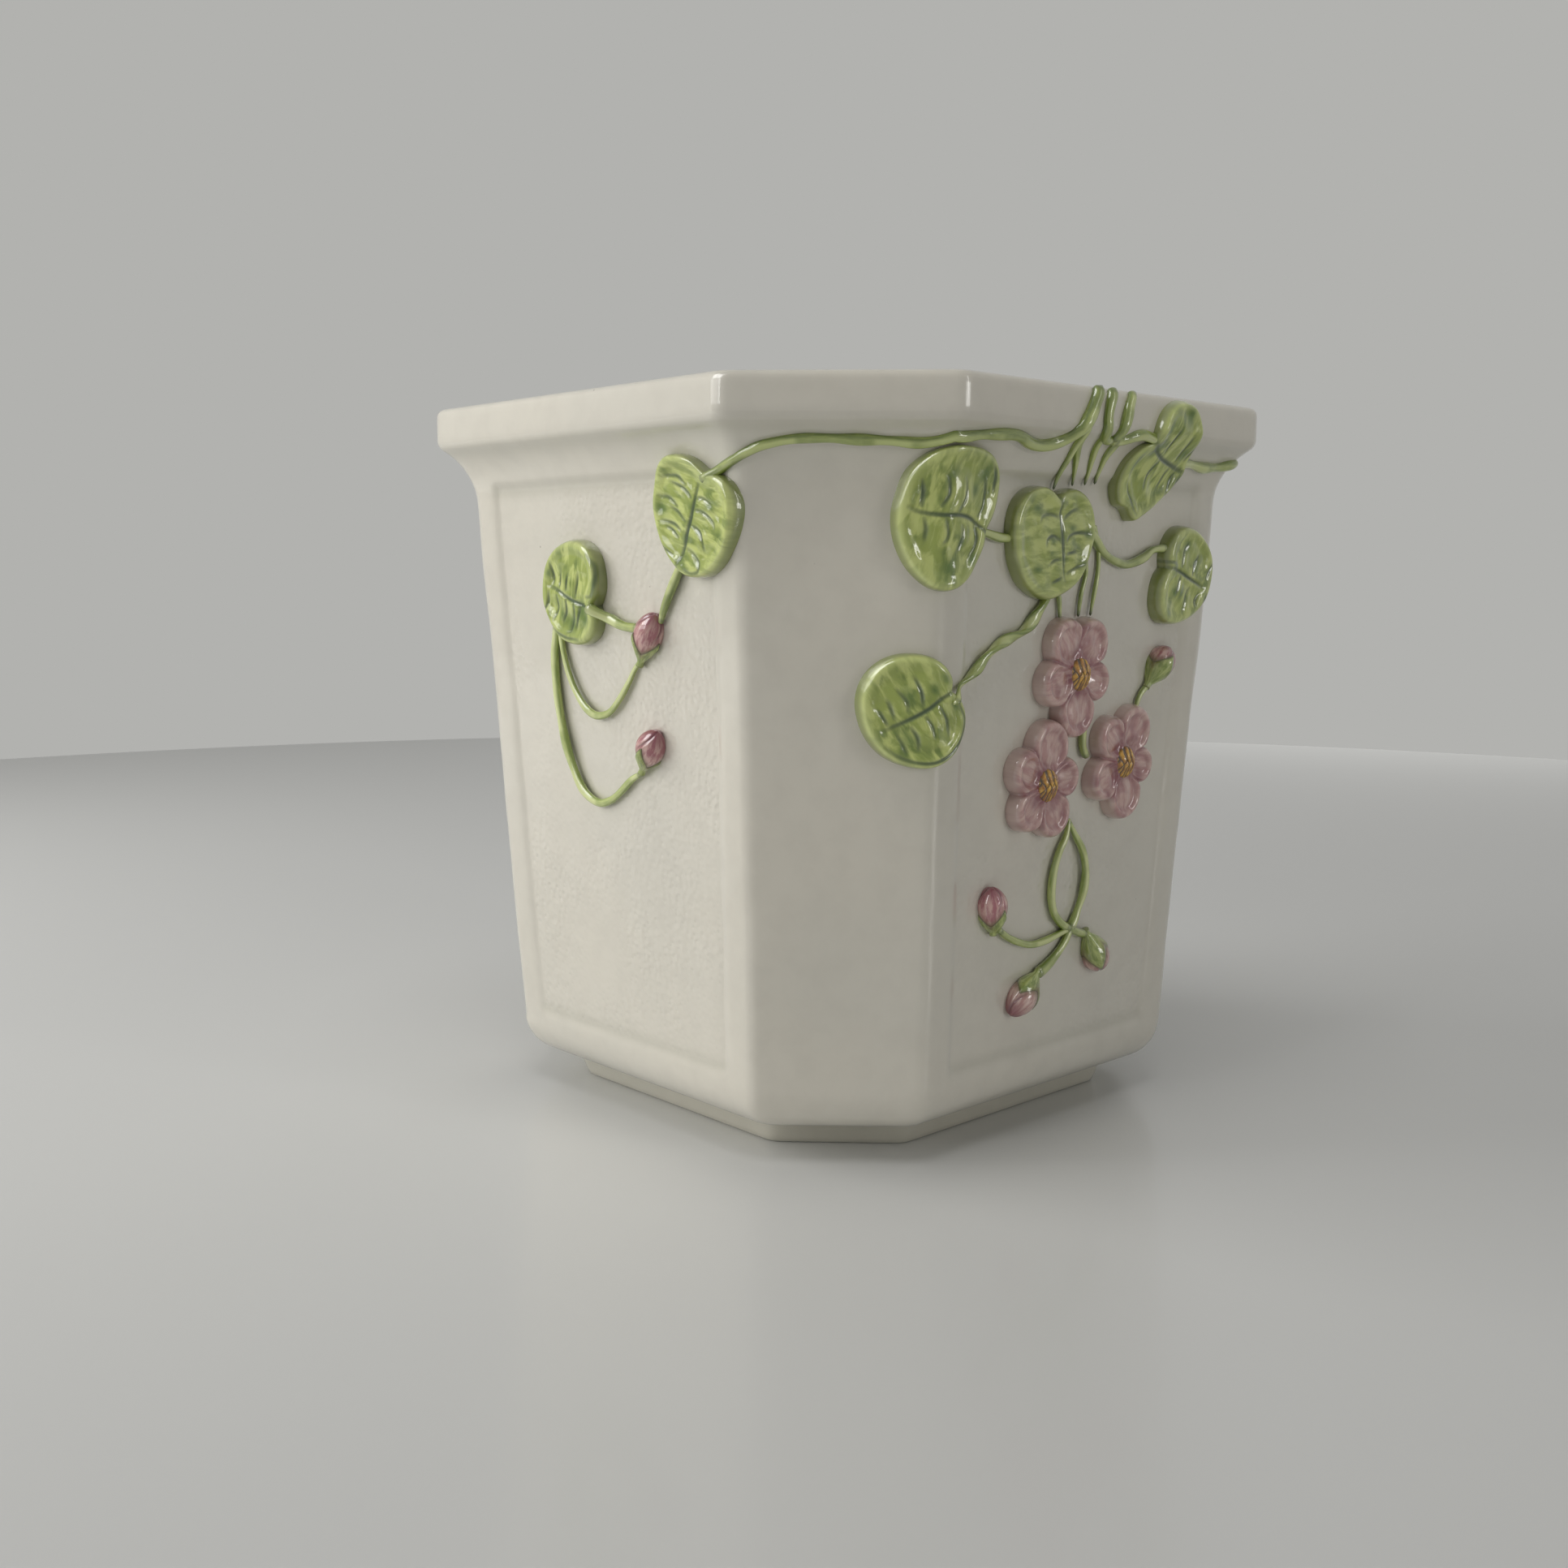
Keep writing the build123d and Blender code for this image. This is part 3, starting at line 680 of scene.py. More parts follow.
def press_on(name, plane, x, y, height, sunk, spread, material, slot, node, **marks):
    """A plate draped over the outside, whose last ring goes down into it as a skirt."""
    skirt = drape(plane, x[-1], y[-1], np.full(x[-1].shape, sunk), spread)
    rows = np.concatenate([drape(plane, x, y, height, spread), skirt[None]])
    middle = np.zeros(1)
    start = drape(plane, middle, middle, middle + height[0].mean(), spread)[0]
    end = drape(plane, middle, middle, middle + sunk, spread)[0]
    marks = {mark: np.concatenate([values, values[-1:]]) for mark, values in marks.items()}
    closed_mesh(name, rows, start, end, material, slot, [node], **marks)


# Headings of the faces in degrees
LEFT, FRONT_LEFT, FRONT, RIGHT = 180, 225, 270, 360
# How deep the skirts of leaves and flowers go into the wall
SUNK = -1.7


# Leaves

LEAF_HEIGHT, LEAF_SHOULDER, LEAF_SPREAD, LEAF_COLUMNS = 3.6, 1.8, 2.0, 260
# Widths of the brushed vein for the midrib and the others, and of the cut under it
MIDRIB_BRUSH, VEIN_BRUSH, CUT_WIDTH, CUT_DEPTH = 0.62, 0.52, 0.5, 0.3
# Depth of the dish behind the rolled rim, the rise of its middle, swellings beside veins, and waves
DISH_DEPTH, MIDDLE_RISE, VEIN_SWELL, LEAF_WAVES = 0.75, 0.4, 0.15, 0.16
# Seat: face, place across, height, heading of the leaf, aim of its tip. In the leaf's own plane, with the
# tip towards +X: its edge once round from the notch, its cut veins with the midrib first, and darker
# washes of green as places and radii
LEAVES = {
    "leaf_left_upper": dict(
        seat=(LEFT, 0.75, 0.836, 180, -110),
        edge=[(-12.3, 3), (-13, 7), (-12, 11), (-8.5, 14.3), (-3.5, 15.8), (2, 15.8), (8, 14), (12.5, 10.5),
            (15.3, 5.5), (16.2, 0), (14.8, -5), (12, -9.5), (8, -13.2), (3, -16), (-2.5, -17),
            (-7.5, -16.6), (-11.5, -13.8), (-13.8, -9), (-14.3, -3)],
        veins=[[(-8.5, 0.5), (0, 0.5), (5, -0.2), (9, -0.6), (13, -1.5), (15.2, -2.4)],
            [(-5.3, 1), (-5.6, 4), (-5, 7)], [(-2, 1), (-2.2, 5), (-1, 8.5), (0.3, 9.6)],
            [(2.2, 1), (3.4, 4.8), (7.4, 7.5)],
            [(8.8, 0.5), (9.3, 3.5), (11, 6.3), (13, 6.8), (14.4, 4), (14.2, 0.6)],
            [(-4.5, -1), (-6, -5), (-5.8, -11)], [(2, -1.5), (0.8, -5), (0.3, -9)],
            [(7, -3.5), (6, -6), (5.8, -9)], [(12.2, -4), (11.3, -9)], [(-7, -4), (-8, -8), (-6.6, -13)],
            [(-0.6, -6), (-1.6, -10), (-0.8, -14)], [(5, -3), (4.3, -6), (4.8, -11)]],
        washes=[(-11, 3, 1.7), (2, -12, 2.2), (-4, 6, 1.4), (14, 2, 1.2), (3.4, 4, 1)]),
    "leaf_left_lower": dict(
        seat=(LEFT, -0.19, 0.74, 180, 168),
        edge=[(-11.6, 1.5), (-13.3, 4), (-13.3, 8), (-11, 11.5), (-7, 14), (-1, 14.8), (4, 13.8),
            (8.5, 10.8), (11.8, 6.5), (13, 1), (12.6, -4.5), (10, -9.5), (6, -13), (0.5, -15.2),
            (-5.5, -15.2), (-9.8, -12.8), (-12.3, -8.5), (-13.2, -3.5)],
        veins=[[(-12.5, 1.5), (-9.5, 2.3), (-5, 2), (0, 1.5), (5, 0.3), (9.3, 0)],
            [(-6, 2.8), (-5.6, 6), (-5, 9.5)], [(-3, 2.4), (-3.6, 6), (-2.6, 10.6), (-1.3, 11.3)],
            [(0.5, 2), (0.5, 6), (1.5, 9)], [(5, 2), (4.8, 5.5), (5.8, 9.5)],
            [(9, 1.5), (9.3, 5.5), (11, 8)], [(-3.7, 0.5), (-4, -6.5)], [(1, -0.5), (0.8, -5)],
            [(4.3, -0.8), (4.5, -4.8)], [(7.8, -0.6), (8.3, -4.5), (9.3, -7)],
            [(-9, -0.6), (-11.4, -1.6), (-12.2, -6), (-11, -10), (-8, -12.6)],
            [(-6.5, 12.4), (-1, 13), (3.6, 12.4), (6.3, 11)]],
        washes=[(-3, 8.5, 2.6), (-7, 4, 2.4), (-11.4, 1.6, 1.4), (-9, 6, 2), (2, 7, 1.6), (-12, -5, 1.2)]),
    "leaf_corner_upper": dict(
        seat=(FRONT, -0.94, 0.831, 247.5, 168),
        edge=[(-11, 0.8), (-11.2, 5), (-9.8, 10), (-8, 14), (-4.5, 17.3), (0, 18.8), (4.5, 18), (9.5, 14.5),
            (13.5, 9), (15.6, 3), (15.8, -3), (15, -9), (12, -13.8), (7.5, -16.8), (2, -18.2), (-4, -18.6),
            (-8.5, -17.3), (-11.5, -14), (-12.6, -9), (-12.6, -4)],
        veins=[[(-11.3, 1.8), (-8, 0.5), (-4, -0.9), (0, -0.9), (5, 0.2), (10, 0.7), (13.3, 0.2)],
            [(-6, 0.4), (-7.3, 3), (-7.3, 5.5), (-6.3, 8)], [(-2, 1.5), (-2.5, 4.5), (-1.5, 8.5)],
            [(3.8, 0.8), (2.4, 3.6), (2.2, 5.8), (3, 7.3)], [(9, 2), (7.9, 4.5), (7.4, 7.5)],
            [(-6.6, -2), (-7.6, -5), (-7.2, -9), (-6, -12)],
            [(0.5, -1.6), (-0.9, -5), (-0.8, -7.8), (0, -10.3)],
            [(5.5, -2), (4.3, -5), (4.9, -8), (6, -9.8)], [(10.2, -1), (10.6, -4), (11.7, -7.2)],
            [(-9.8, -9), (-9.4, -13), (-8, -15.4)]],
        washes=[(-6, -13, 3), (-7, 9, 1.8), (0, 12.5, 2.6), (-2.3, 5.5, 1.4), (4, -11, 1.8),
            (-4, -8, 1.6)]),
    "leaf_corner_lower": dict(
        seat=(FRONT_LEFT, 0.85, 0.598, 247.5, 213),
        edge=[(-9, -0.6), (-10.2, 3), (-9.9, 7), (-8, 10.7), (-4.5, 13.3), (0, 14.5), (5, 14.2), (9, 12.3),
            (12.6, 8.8), (14.9, 4.5), (15.6, -0.5), (14.8, -5.5), (12.6, -10.5), (9, -14.2), (4.5, -16.2),
            (-0.5, -16.3), (-5, -14.4), (-8.5, -11.3), (-10.5, -7.3), (-10.6, -3.2)],
        veins=[[(-8.8, -0.9), (-5, -0.9), (0, -0.4), (5, -0.6), (11.3, -1)],
            [(-3.4, 0.3), (-3.3, 4.5), (-2, 8.5)], [(1, 1), (1, 4), (1.9, 7)],
            [(5.5, 1.5), (5.5, 4.5), (6.8, 7.8)], [(9.3, 2), (9.5, 5), (10, 7)],
            [(0, -2), (-1.3, -5), (-2, -9.5)], [(4, -2.3), (3, -5), (3.3, -9)],
            [(7.7, -2.5), (7, -5.5), (6.7, -7.5)], [(9.9, -2), (9.8, -6.5)],
            [(-8.6, 3.5), (-8, 8.3), (-4.5, 11.8), (0, 13), (5, 12.4), (9, 10), (12, 6.4), (13.6, 2.5)]],
        washes=[(7.6, 4.5, 1.9), (1.6, -6, 1.9), (-8.6, -5, 1.6), (-7.4, 3, 1.4), (-4.4, -4, 1.5)]),
    "leaf_heart": dict(
        seat=(FRONT, -0.31, 0.805, 270, -90),
        edge=[(-12.3, 0.8), (-14, 3.5), (-14.8, 8), (-13.5, 12.5), (-10, 15.8), (-4.5, 17.3), (1, 17),
            (6, 15.2), (10.3, 12), (13.3, 7.5), (15.2, 2), (15.2, -2.5), (13.6, -7.5), (10.5, -12),
            (5.5, -15.5), (0, -17), (-5, -17.4), (-10, -15.8), (-13.5, -12), (-14.9, -7), (-14.3, -2.8)],
        veins=[[(-11.8, 1.2), (-7, 2), (0, 3.2), (10, 5.6)], [(-6.5, 3.6), (-8.5, 6.5), (-9.5, 10)],
            [(-0.8, 4.8), (-2.3, 6.5), (-3, 10.5), (-2.8, 15)], [(2.8, 5.5), (2, 10)],
            [(8, 6.8), (6.5, 10), (5.2, 14)], [(-7, 1), (-7.6, -3), (-6.8, -6.2), (-5.3, -7)],
            [(-1, 1.5), (-1.9, -1), (-0.9, -3.5), (0.8, -3.6)], [(4.3, 2.5), (4.8, 0), (5.8, -1.5)],
            [(9.3, 4), (10.7, 0)]],
        washes=[(-2.6, 14, 1.6), (5, 13, 1.6), (-9, -8.6, 1.6), (7, -6.5, 1.6), (-4, 7, 1.4),
            (-11.2, 2, 1.3), (-0.8, -1.5, 1)]),
    "leaf_over_rim": dict(
        seat=(FRONT, 0.345, 0.919, 270, -20),
        edge=[(-9.5, 1), (-10.9, 3.8), (-10.4, 8.5), (-8.3, 12.5), (-4.5, 15.7), (-0.5, 16.8), (3, 16),
            (6.3, 13.2), (9.5, 9.2), (12.5, 5.3), (15.2, 1.8), (14, -3), (11.5, -7.5), (8, -12),
            (4.3, -15.6), (0.8, -18.4), (-3, -16.6), (-7, -16.4), (-10, -13.2), (-11.6, -9), (-12.2, -4.5),
            (-11.3, -0.8)],
        veins=[[(-9, 1), (-5, 0.5), (0, 0.2), (8, 1), (14.8, 1.8)], [(-0.7, 1.8), (-2.5, 5.5), (-2.8, 8)],
            [(6.5, 2.5), (5.8, 6), (5, 9)], [(10, 4), (9.4, 8)], [(0, -0.7), (-0.8, -5), (0, -9)],
            [(6.8, -0.2), (6.5, -6)], [(10.5, 0), (10.5, -6.5)], [(13.3, 0.6), (13, -3)],
            [(-7.8, -10.3), (-5, -12.6), (-2.3, -15.2), (0.2, -16.6)]],
        washes=[(-6, 0.6, 2), (-7, 6, 2), (0, 13, 2.6), (-4, -15, 1.3), (-9, -5, 2), (8, 5, 2)]),
    "leaf_front_right": dict(
        seat=(FRONT, 0.77, 0.762, 280, -13),
        edge=[(-11.4, 0), (-12.9, 3.5), (-12.7, 8), (-10.6, 11.7), (-7, 13.8), (-2, 14.3), (2.5, 13.2),
            (6.5, 10.8), (9.3, 7.5), (10.6, 3), (10.6, -1.5), (9.6, -5.5), (7, -9.5), (3, -12.7),
            (-2, -14.8), (-6.8, -15.4), (-10.3, -13.8), (-12.6, -10.3), (-13.4, -6), (-12.9, -2.5)],
        veins=[[(-11, 0.3), (-7, 0.4), (-2, -0.3), (3, -0.8), (7.3, -1.3)],
            [(-5.5, 2), (-5.5, 6), (-4.5, 9.5)], [(0.5, 1), (0.8, 4.5), (2, 7.3)],
            [(7.5, 1.5), (8, 4), (8.6, 6.3)], [(-12.5, 1.7), (-9, 2.2)], [(-5.3, -1), (-5.5, -6.5)],
            [(0.8, -3), (-0.3, -6), (-0.5, -11)], [(6, -3.5), (5, -6), (5, -8)], [(8.9, -3), (8.4, -6)]],
        washes=[(-7.6, -13, 1.6), (-6.5, -6, 1.8), (-3.2, -5.5, 1.5), (-5, 8, 1.8), (0.6, 4, 1.2),
            (-9, 1, 1.6), (9, -5, 1.2)]),
}
LEAVES["leaf_right"] = dict(LEAVES["leaf_heart"], seat=(RIGHT, -0.5, 0.8, RIGHT, -70))


def leaf(name, seat, edge, veins, washes):
    """A plate with a rolled rim, a dish, cut veins and a wavy face."""
    face, across, height, heading, turn = seat
    draw = seeded(name)
    plane = face_plane(heading, point(face, across, height * TOTAL), turn)
    outline = curve_through(edge, 0.4, closed=True)[:-1]
    angles = np.arctan2(outline[:, 1], outline[:, 0])
    order = np.argsort(angles)
    theta = np.linspace(-pi, pi, LEAF_COLUMNS, endpoint=False)
    radius = np.interp(theta, angles[order], np.hypot(*outline.T)[order], period=2 * pi)
    x, y, inside = fan(radius, theta, 0.78, 46, 44)
    flat_places = np.stack([x, y], -1)
    shoulder = LEAF_SHOULDER + 0.35 * waves(flat_places, 16, int(draw.integers(1000)))
    dish = DISH_DEPTH * smooth(1.8, 4.6, inside) - MIDDLE_RISE * smooth(5, 13, inside)
    h = LEAF_HEIGHT * rolled(inside, shoulder, 2.4) - dish
    h += LEAF_WAVES * waves(flat_places, 8, int(draw.integers(1000))) * smooth(1.5, 5, inside)
    vein, cut, swell = np.zeros((3, *x.shape))
    for number, points in enumerate(veins):
        distance, along = near_line(x, y, curve_through(points, 0.6))
        taper = np.clip(np.sin(pi * np.clip(along * 0.9 + 0.08, 0, 1)), 0, 1) ** 0.45
        strength = draw.uniform(0.75, 1.0) if number else 1.0
        brush = VEIN_BRUSH if number else MIDRIB_BRUSH
        vein = np.maximum(vein, strength * taper * bell(distance, brush, 3))
        cut = np.maximum(cut, strength * taper * bell(distance, CUT_WIDTH))
        swell = np.maximum(swell, taper * bell(distance - 1.3, 0.9))
    h += (VEIN_SWELL * swell - CUT_DEPTH * cut) * smooth(0.6, 2, inside)
    h = np.minimum(h, LEAF_HEIGHT)
    wash = np.zeros(x.shape)
    for wash_x, wash_y, size in washes:
        far = np.hypot((x - wash_x) * 1.25, (y - wash_y) * 0.8)
        wash = np.maximum(wash, bell(far, size))
    # The side mark is the steep side wall, which the material darkens as painted shade
    press_on(name + "_clay", plane, x, y, h, SUNK, LEAF_SPREAD, LEAF, "leaf_green", name,
             spot=laid_out(x, y, draw), edge=inside, vein=vein, wash=wash, side=1 - smooth(0.0, 0.9, inside))


for name, shape in LEAVES.items():
    leaf(name, **shape)


# Flowers

PETAL_REACH, PETAL_LONG, PETAL_WIDE, PETAL_HEIGHT, PETAL_SHOULDER = 9.2, 7.5, 7.2, 4.1, 1.7
FLOWER_COLUMNS, FLOWER_REACH = 400, 20
PETAL_LIFTS = (1.0, 0.94, 1.0, 0.93, 0.97)
# How sharply petals part, and depths: of the creases between them, of their dishes, the rise of a dish's
# middle, and of the dip at the flower's centre
PETAL_SHARP, CREASE_DEPTH, PETAL_DISH, PETAL_RISE, CENTRE_DIP, PETAL_WAVES = 2.6, 0.75, 1.0, 0.35, 0.6, 0.12
# Place across, height, aims and sizes of the petals, and rose touches as place and radius
FLOWERS = {
    "flower_top": (-0.067, 0.634, (60, 122, 194, 274, 345), (1.03, 1.05, 0.96, 1.09, 0.87),
                   [(-1.5, 6, 2), (0.5, -5.5, 1.4), (1.5, 13, 1.2), (-3.5, -6.5, 1.3)]),
    "flower_left": (-0.259, 0.489, (84, 152, 227, 298, 11), (1.1, 0.93, 0.92, 1.0, 0.87),
                    [(-5, -4.6, 1.7), (-11, -11, 1.3), (-1.5, -12, 1), (-10, 10.5, 1.6), (7.5, 5, 1.4)]),
    "flower_right": (0.352, 0.508, (63, 130, 209, 282, 350), (1.06, 0.96, 0.95, 1.06, 0.85),
                     [(-3.5, -5.5, 2.2), (-7.6, -9, 1.2), (7.4, -4, 1.7), (-11.5, 2.4, 1.5), (-6, 14, 1.8)]),
}
DISC_WIDE, DISC_TALL, DISC_RISE, DISC_BED, DISC_COLUMNS = 4.4, 5.1, 5.4, 2.0, 132
# The crossed cuts in a flower's middle: turns and shifts, and their spacing, width and depth
DISC_CUTS = ((radians(72), 0.2), (radians(103), 0.9))
CUT_SPACING, CUT_LINE, CUT_IN = 1.9, 0.25, 0.5


def petals_at(x, y, aims, sizes):
    """Per petal, how deep points lie inside its edge, and their place along and across it."""
    found = []
    for aim, size in zip(aims, sizes):
        aim = radians(aim)
        along = x * cos(aim) + y * sin(aim) - PETAL_REACH * size
        aside = -x * sin(aim) + y * cos(aim)
        wide = PETAL_WIDE * size
        found.append(((1 - np.hypot(along / (PETAL_LONG * size), aside / wide)) * wide, along, aside))
    return np.array(found).swapaxes(0, 1)


def flower(name, across, height, aims, sizes, touches):
    """Five petals as one plate, and the middle on it."""
    draw = seeded(name)
    plane = face_plane(FRONT, point(FRONT, across, height * TOTAL))
    theta = np.linspace(-pi, pi, FLOWER_COLUMNS, endpoint=False)
    far = np.zeros(theta.shape)
    for r in np.linspace(2, FLOWER_REACH, 361):
        deep = petals_at(r * np.cos(theta), r * np.sin(theta), aims, sizes)[0]
        far = np.where(deep.max(0) > 0, r, far)
    x, y, edge = fan(far, theta, 0.7, 34, 46)
    r = np.hypot(x, y)
    deep, longs, asides = petals_at(x, y, aims, sizes)
    blended = np.log(np.exp(np.clip(deep, -3, None) * PETAL_SHARP).sum(0)) / PETAL_SHARP
    depth = np.minimum(blended, edge)
    depth = np.maximum(depth, smooth(11, 7, r) * 3)
    lifts = PETAL_HEIGHT * np.roll(PETAL_LIFTS, -int(draw.integers(5)))
    shares = np.exp(3 * np.clip(deep, -4, 4))
    h = (lifts[:, None, None] * shares).sum(0) / shares.sum(0) * rolled(depth, PETAL_SHOULDER, 2.2)
    second, first = np.sort(deep, axis=0)[-2:]
    # The crease between petals shapes the clay and also carries painted shade
    crease = bell(first - second, 0.9) * smooth(3.0, 8.0, r)
    h -= CREASE_DEPTH * crease + PETAL_DISH * smooth(1.9, 3.5, first) - PETAL_RISE * smooth(3.5, 6.5, first)
    h -= CENTRE_DIP * bell(r, 6.4, 4)
    h += PETAL_WAVES * waves(np.stack([x, y], -1), 7, int(draw.integers(1000))) * smooth(0.5, 3, depth)
    h = np.clip(h, 0, PETAL_HEIGHT)
    # The foot of each petal's raised rim, where shade is painted like in the creases
    rim_foot = bell(first - 3.1, 0.7) * smooth(4.5, 7.0, r)
    owner = deep.argmax(0)
    along, aside = np.choose(owner, longs), np.choose(owner, asides)
    wash = np.max([bell(np.hypot(x - px, y - py), size) for px, py, size in touches], axis=0)
    press_on(name + "_clay", plane, x, y, h, SUNK, 0.0, PETAL, "petal_pink", name + "_petals",
             spot=laid_out(along + 40 * owner, aside, draw), crease=np.maximum(crease, 0.45 * rim_foot),
             centre=bell(np.clip(r - 4.4, 0, None), 2.0, 1.5), wash=wash,
             side=1 - smooth(0.0, 1.2, depth))
    disc(name, plane)


def disc(name, plane):
    """A flower's middle: a dome with crossed cuts."""
    shares = np.linspace(0.03, 1, 44)[:, None] ** 0.75
    around = np.linspace(-pi, pi, DISC_COLUMNS, endpoint=False)
    x = shares * DISC_WIDE * np.cos(around)
    y = shares * DISC_TALL * np.sin(around)
    lines = smooth(0.84, 0.97, shares) + 0 * x
    for turn, shift in DISC_CUTS:
        cut = x * sin(turn) - y * cos(turn) + 0.45 * np.sin(y * 1.1 + 3 * turn) + shift
        from_cut = (cut + CUT_SPACING / 2) % CUT_SPACING - CUT_SPACING / 2
        lines = np.maximum(lines, bell(from_cut, CUT_LINE))
    h = DISC_BED + (DISC_RISE - DISC_BED) * (1 - shares ** 2.8) ** 0.5 - CUT_IN * lines
    press_on(name + "_disc", plane, x, y, h, 0.0, 0.0, CENTRE, "centre_ochre", name + "_centre", line=lines)


for name, values in FLOWERS.items():
    flower(name, *values)


# Buds

BUD_START, BUD_TAIL, BUD_WIDTH, BUD_RISE, CALYX_WALL, NECK = -8.9, -9.7, 8.9, 0.6, 0.45, 1.1
THIRD = 2 * pi / 3
# Columns round a bud, the depth, width and turn of the folds in its tip, and the ridge of a sepal
BUD_COLUMNS, FOLD_DEPTH, FOLD_WIDTH, FOLD_TURN, SEPAL_RIDGE = 96, 0.35, 0.42, 1.9, 0.22
# How deep the calyx's underside lies in the egg, and its least radius there
UNDER_DEPTH, UNDER_LEAST = 0.4, 0.3
# Face, place across, height, aim of the tip, places of the tip, the notches and the sepals' tips
# along the bud, angle of a notch, share of rose in the clay, share of the full length to the stem and,
# where it isn't the usual 0.8, how slowly the egg widens from the stem
BUDS = {
    "bud_left_upper": (LEFT, 0.367, 0.684, 60, 7.3, -4.8, 0.4, 124, 1.0, 1.0),
    "bud_left_lower": (LEFT, 0.337, 0.533, 56, 6.8, -4.4, 2.2, 160, 1.0, 0.88),
    "bud_front_right": (FRONT, 0.645, 0.643, 50, 5.6, -2.6, 2.0, 15, 1.0, 1.0),
    "bud_front_left": (FRONT, -0.568, 0.331, 100, 6.4, -4.2, 0.6, 30, 1.0, 0.8, 0.5),
    "bud_front_middle": (FRONT, 0.295, 0.2345, -57, 6.4, -2.0, 4.0, 185, 0.7, 1.0),
    "bud_front_low": (FRONT, -0.29, 0.2, 224, 7.0, -2.4, 1.6, 92, 0.3, 1.0),
    "bud_right_upper": (RIGHT, 0.05, 0.655, 60, 7.2, -3.0, 1.4, 60, 1.0, 1.0),
    "bud_right_lower": (RIGHT, -0.1, 0.5, 50, 7.2, -2.4, 2.0, 150, 0.8, 1.0),
}


class BudForm:
    """A bud's egg along its own X, and where its calyx ends."""

    def __init__(self, face, across, height, aim, tip_at, notch_at, sepal_at, notch_angle, rose, length,
                 widening=0.8):
        self.plane = face_plane(face, point(face, across, height * TOTAL), aim, BUD_RISE)
        self.start_at, self.tail_at, self.tip_at = BUD_START * length, BUD_TAIL * length, tip_at
        self.notch_at, self.sepal_at, self.notch_turn = notch_at, sepal_at, radians(notch_angle)
        self.rose, self.widening = rose, widening

    def body(self, x):
        """Half width of the egg at a place along it, widest beyond its middle."""
        s = np.clip((x - self.start_at) / (self.tip_at - self.start_at), 0, 1)
        fullness = np.where(s < 0.6, self.widening, 0.55)
        return BUD_WIDTH / 2 * np.clip(np.sin(pi * s ** 1.35), 0, 1) ** fullness

    def from_notch(self, angle):
        """0 at the middle of a notch and 1 at the middle of a sepal."""
        return np.abs((angle - self.notch_turn + THIRD / 2) % THIRD - THIRD / 2) / (THIRD / 2)

    def reach(self, angle):
        """Where the calyx ends along the bud."""
        return self.notch_at + (self.sepal_at - self.notch_at) * self.from_notch(angle) ** 1.5

    def place(self, x, r, angle):
        origin, dx, dy, normal = self.plane
        y, z = (r * np.cos(angle))[..., None], (r * np.sin(angle))[..., None]
        return origin + x[..., None] * dx + y * dy + z * normal

    def ends(self, first, last):
        return self.place(np.array([first, last]), np.zeros(2), np.zeros(2))


def bud_clay(name, form, draw):
    """The egg, with three folds that wind round its tip."""
    around = np.linspace(0, 2 * pi, BUD_COLUMNS, endpoint=False)
    s = 0.5 - 0.5 * np.cos(np.linspace(0.06, pi - 0.06, 64))[:, None] + 0 * around
    x = form.start_at + (form.tip_at - form.start_at) * s
    angle = around + 0 * s
    fold = np.zeros(s.shape)
    for k in range(3):
        path = THIRD * k + form.notch_turn + 0.5 + FOLD_TURN * (s - 0.5)
        gap = (angle - path + pi) % (2 * pi) - pi
        fold = np.maximum(fold, bell(gap * form.body(x), FOLD_WIDTH) * smooth(0.45, 0.75, s))
    beyond = np.clip(x - form.reach(angle), 0, None)
    base = bell(beyond, 1.5) * (1 - form.from_notch(angle)) ** 0.6
    closed_mesh(name + "_clay", form.place(x, form.body(x) - FOLD_DEPTH * fold, angle),
                *form.ends(form.start_at, form.tip_at), BUD, "bud_rose", [name],
                spot=laid_out(x, angle * 4, draw), tip=smooth(form.tip_at - 4.5, form.tip_at, x), line=fold,
                wash=base, rose=form.rose + 0 * s)


def bud_calyx(name, form, draw):
    """A thin skin round the egg whose edge runs out into three sepals."""
    around = np.linspace(0, 2 * pi, BUD_COLUMNS, endpoint=False)
    tail_at = form.tail_at
    t = np.linspace(0, 1, 48)[:, None]
    x = tail_at + (form.reach(around) - tail_at) * t
    angle = around + 0 * x
    neck = NECK * (1 - smooth(tail_at, tail_at + 7, x))
    wall = CALYX_WALL * (1 - 0.8 * smooth(0.8, 1, t)) * smooth(tail_at, tail_at + 3, x)
    skin = ((form.body(x) + wall) ** 3 + neck ** 3) ** (1 / 3)
    ridge = SEPAL_RIDGE * form.from_notch(angle) ** 3 * smooth(0, 0.5, t)
    under = form.place(x[::-1], np.maximum(form.body(x[::-1]) - UNDER_DEPTH, UNDER_LEAST), angle)
    rows = np.concatenate([form.place(x, skin + ridge, angle), under])
    marks = {"spot": laid_out(x, angle * 4, draw),
             "edge": np.maximum(smooth(0.88, 0.99, t), 0.5 * smooth(0.1, 0, t)) + 0 * x,
             "wash": smooth(0.45, 0.95, t) * (1 - form.from_notch(angle)) ** 2}
    marks = {mark: np.concatenate([values, values[::-1]]) for mark, values in marks.items()}
    closed_mesh(name + "_sepals", rows, *form.ends(tail_at, tail_at + 0.5), CALYX, "calyx_green",
                [name + "_calyx"], **marks)


for name, values in BUDS.items():
    form, draw = BudForm(*values), seeded(name)
    bud_clay(name, form, draw)
    bud_calyx(name, form, draw)


# Stems

STEM_WIDTH, TENDRIL_WIDTH, STEM_RISE, STEM_STEP, STEM_COLUMNS, LIFT_LENGTH = 3.2, 2.2, 0.2, 0.5, 28, 8.0
# Shares of a stem's width: how much it wavers, over what length in millimetres, and its blunt ends
WAVER, WAVER_LENGTH, BLUNT_END = 0.07, 14, 0.8
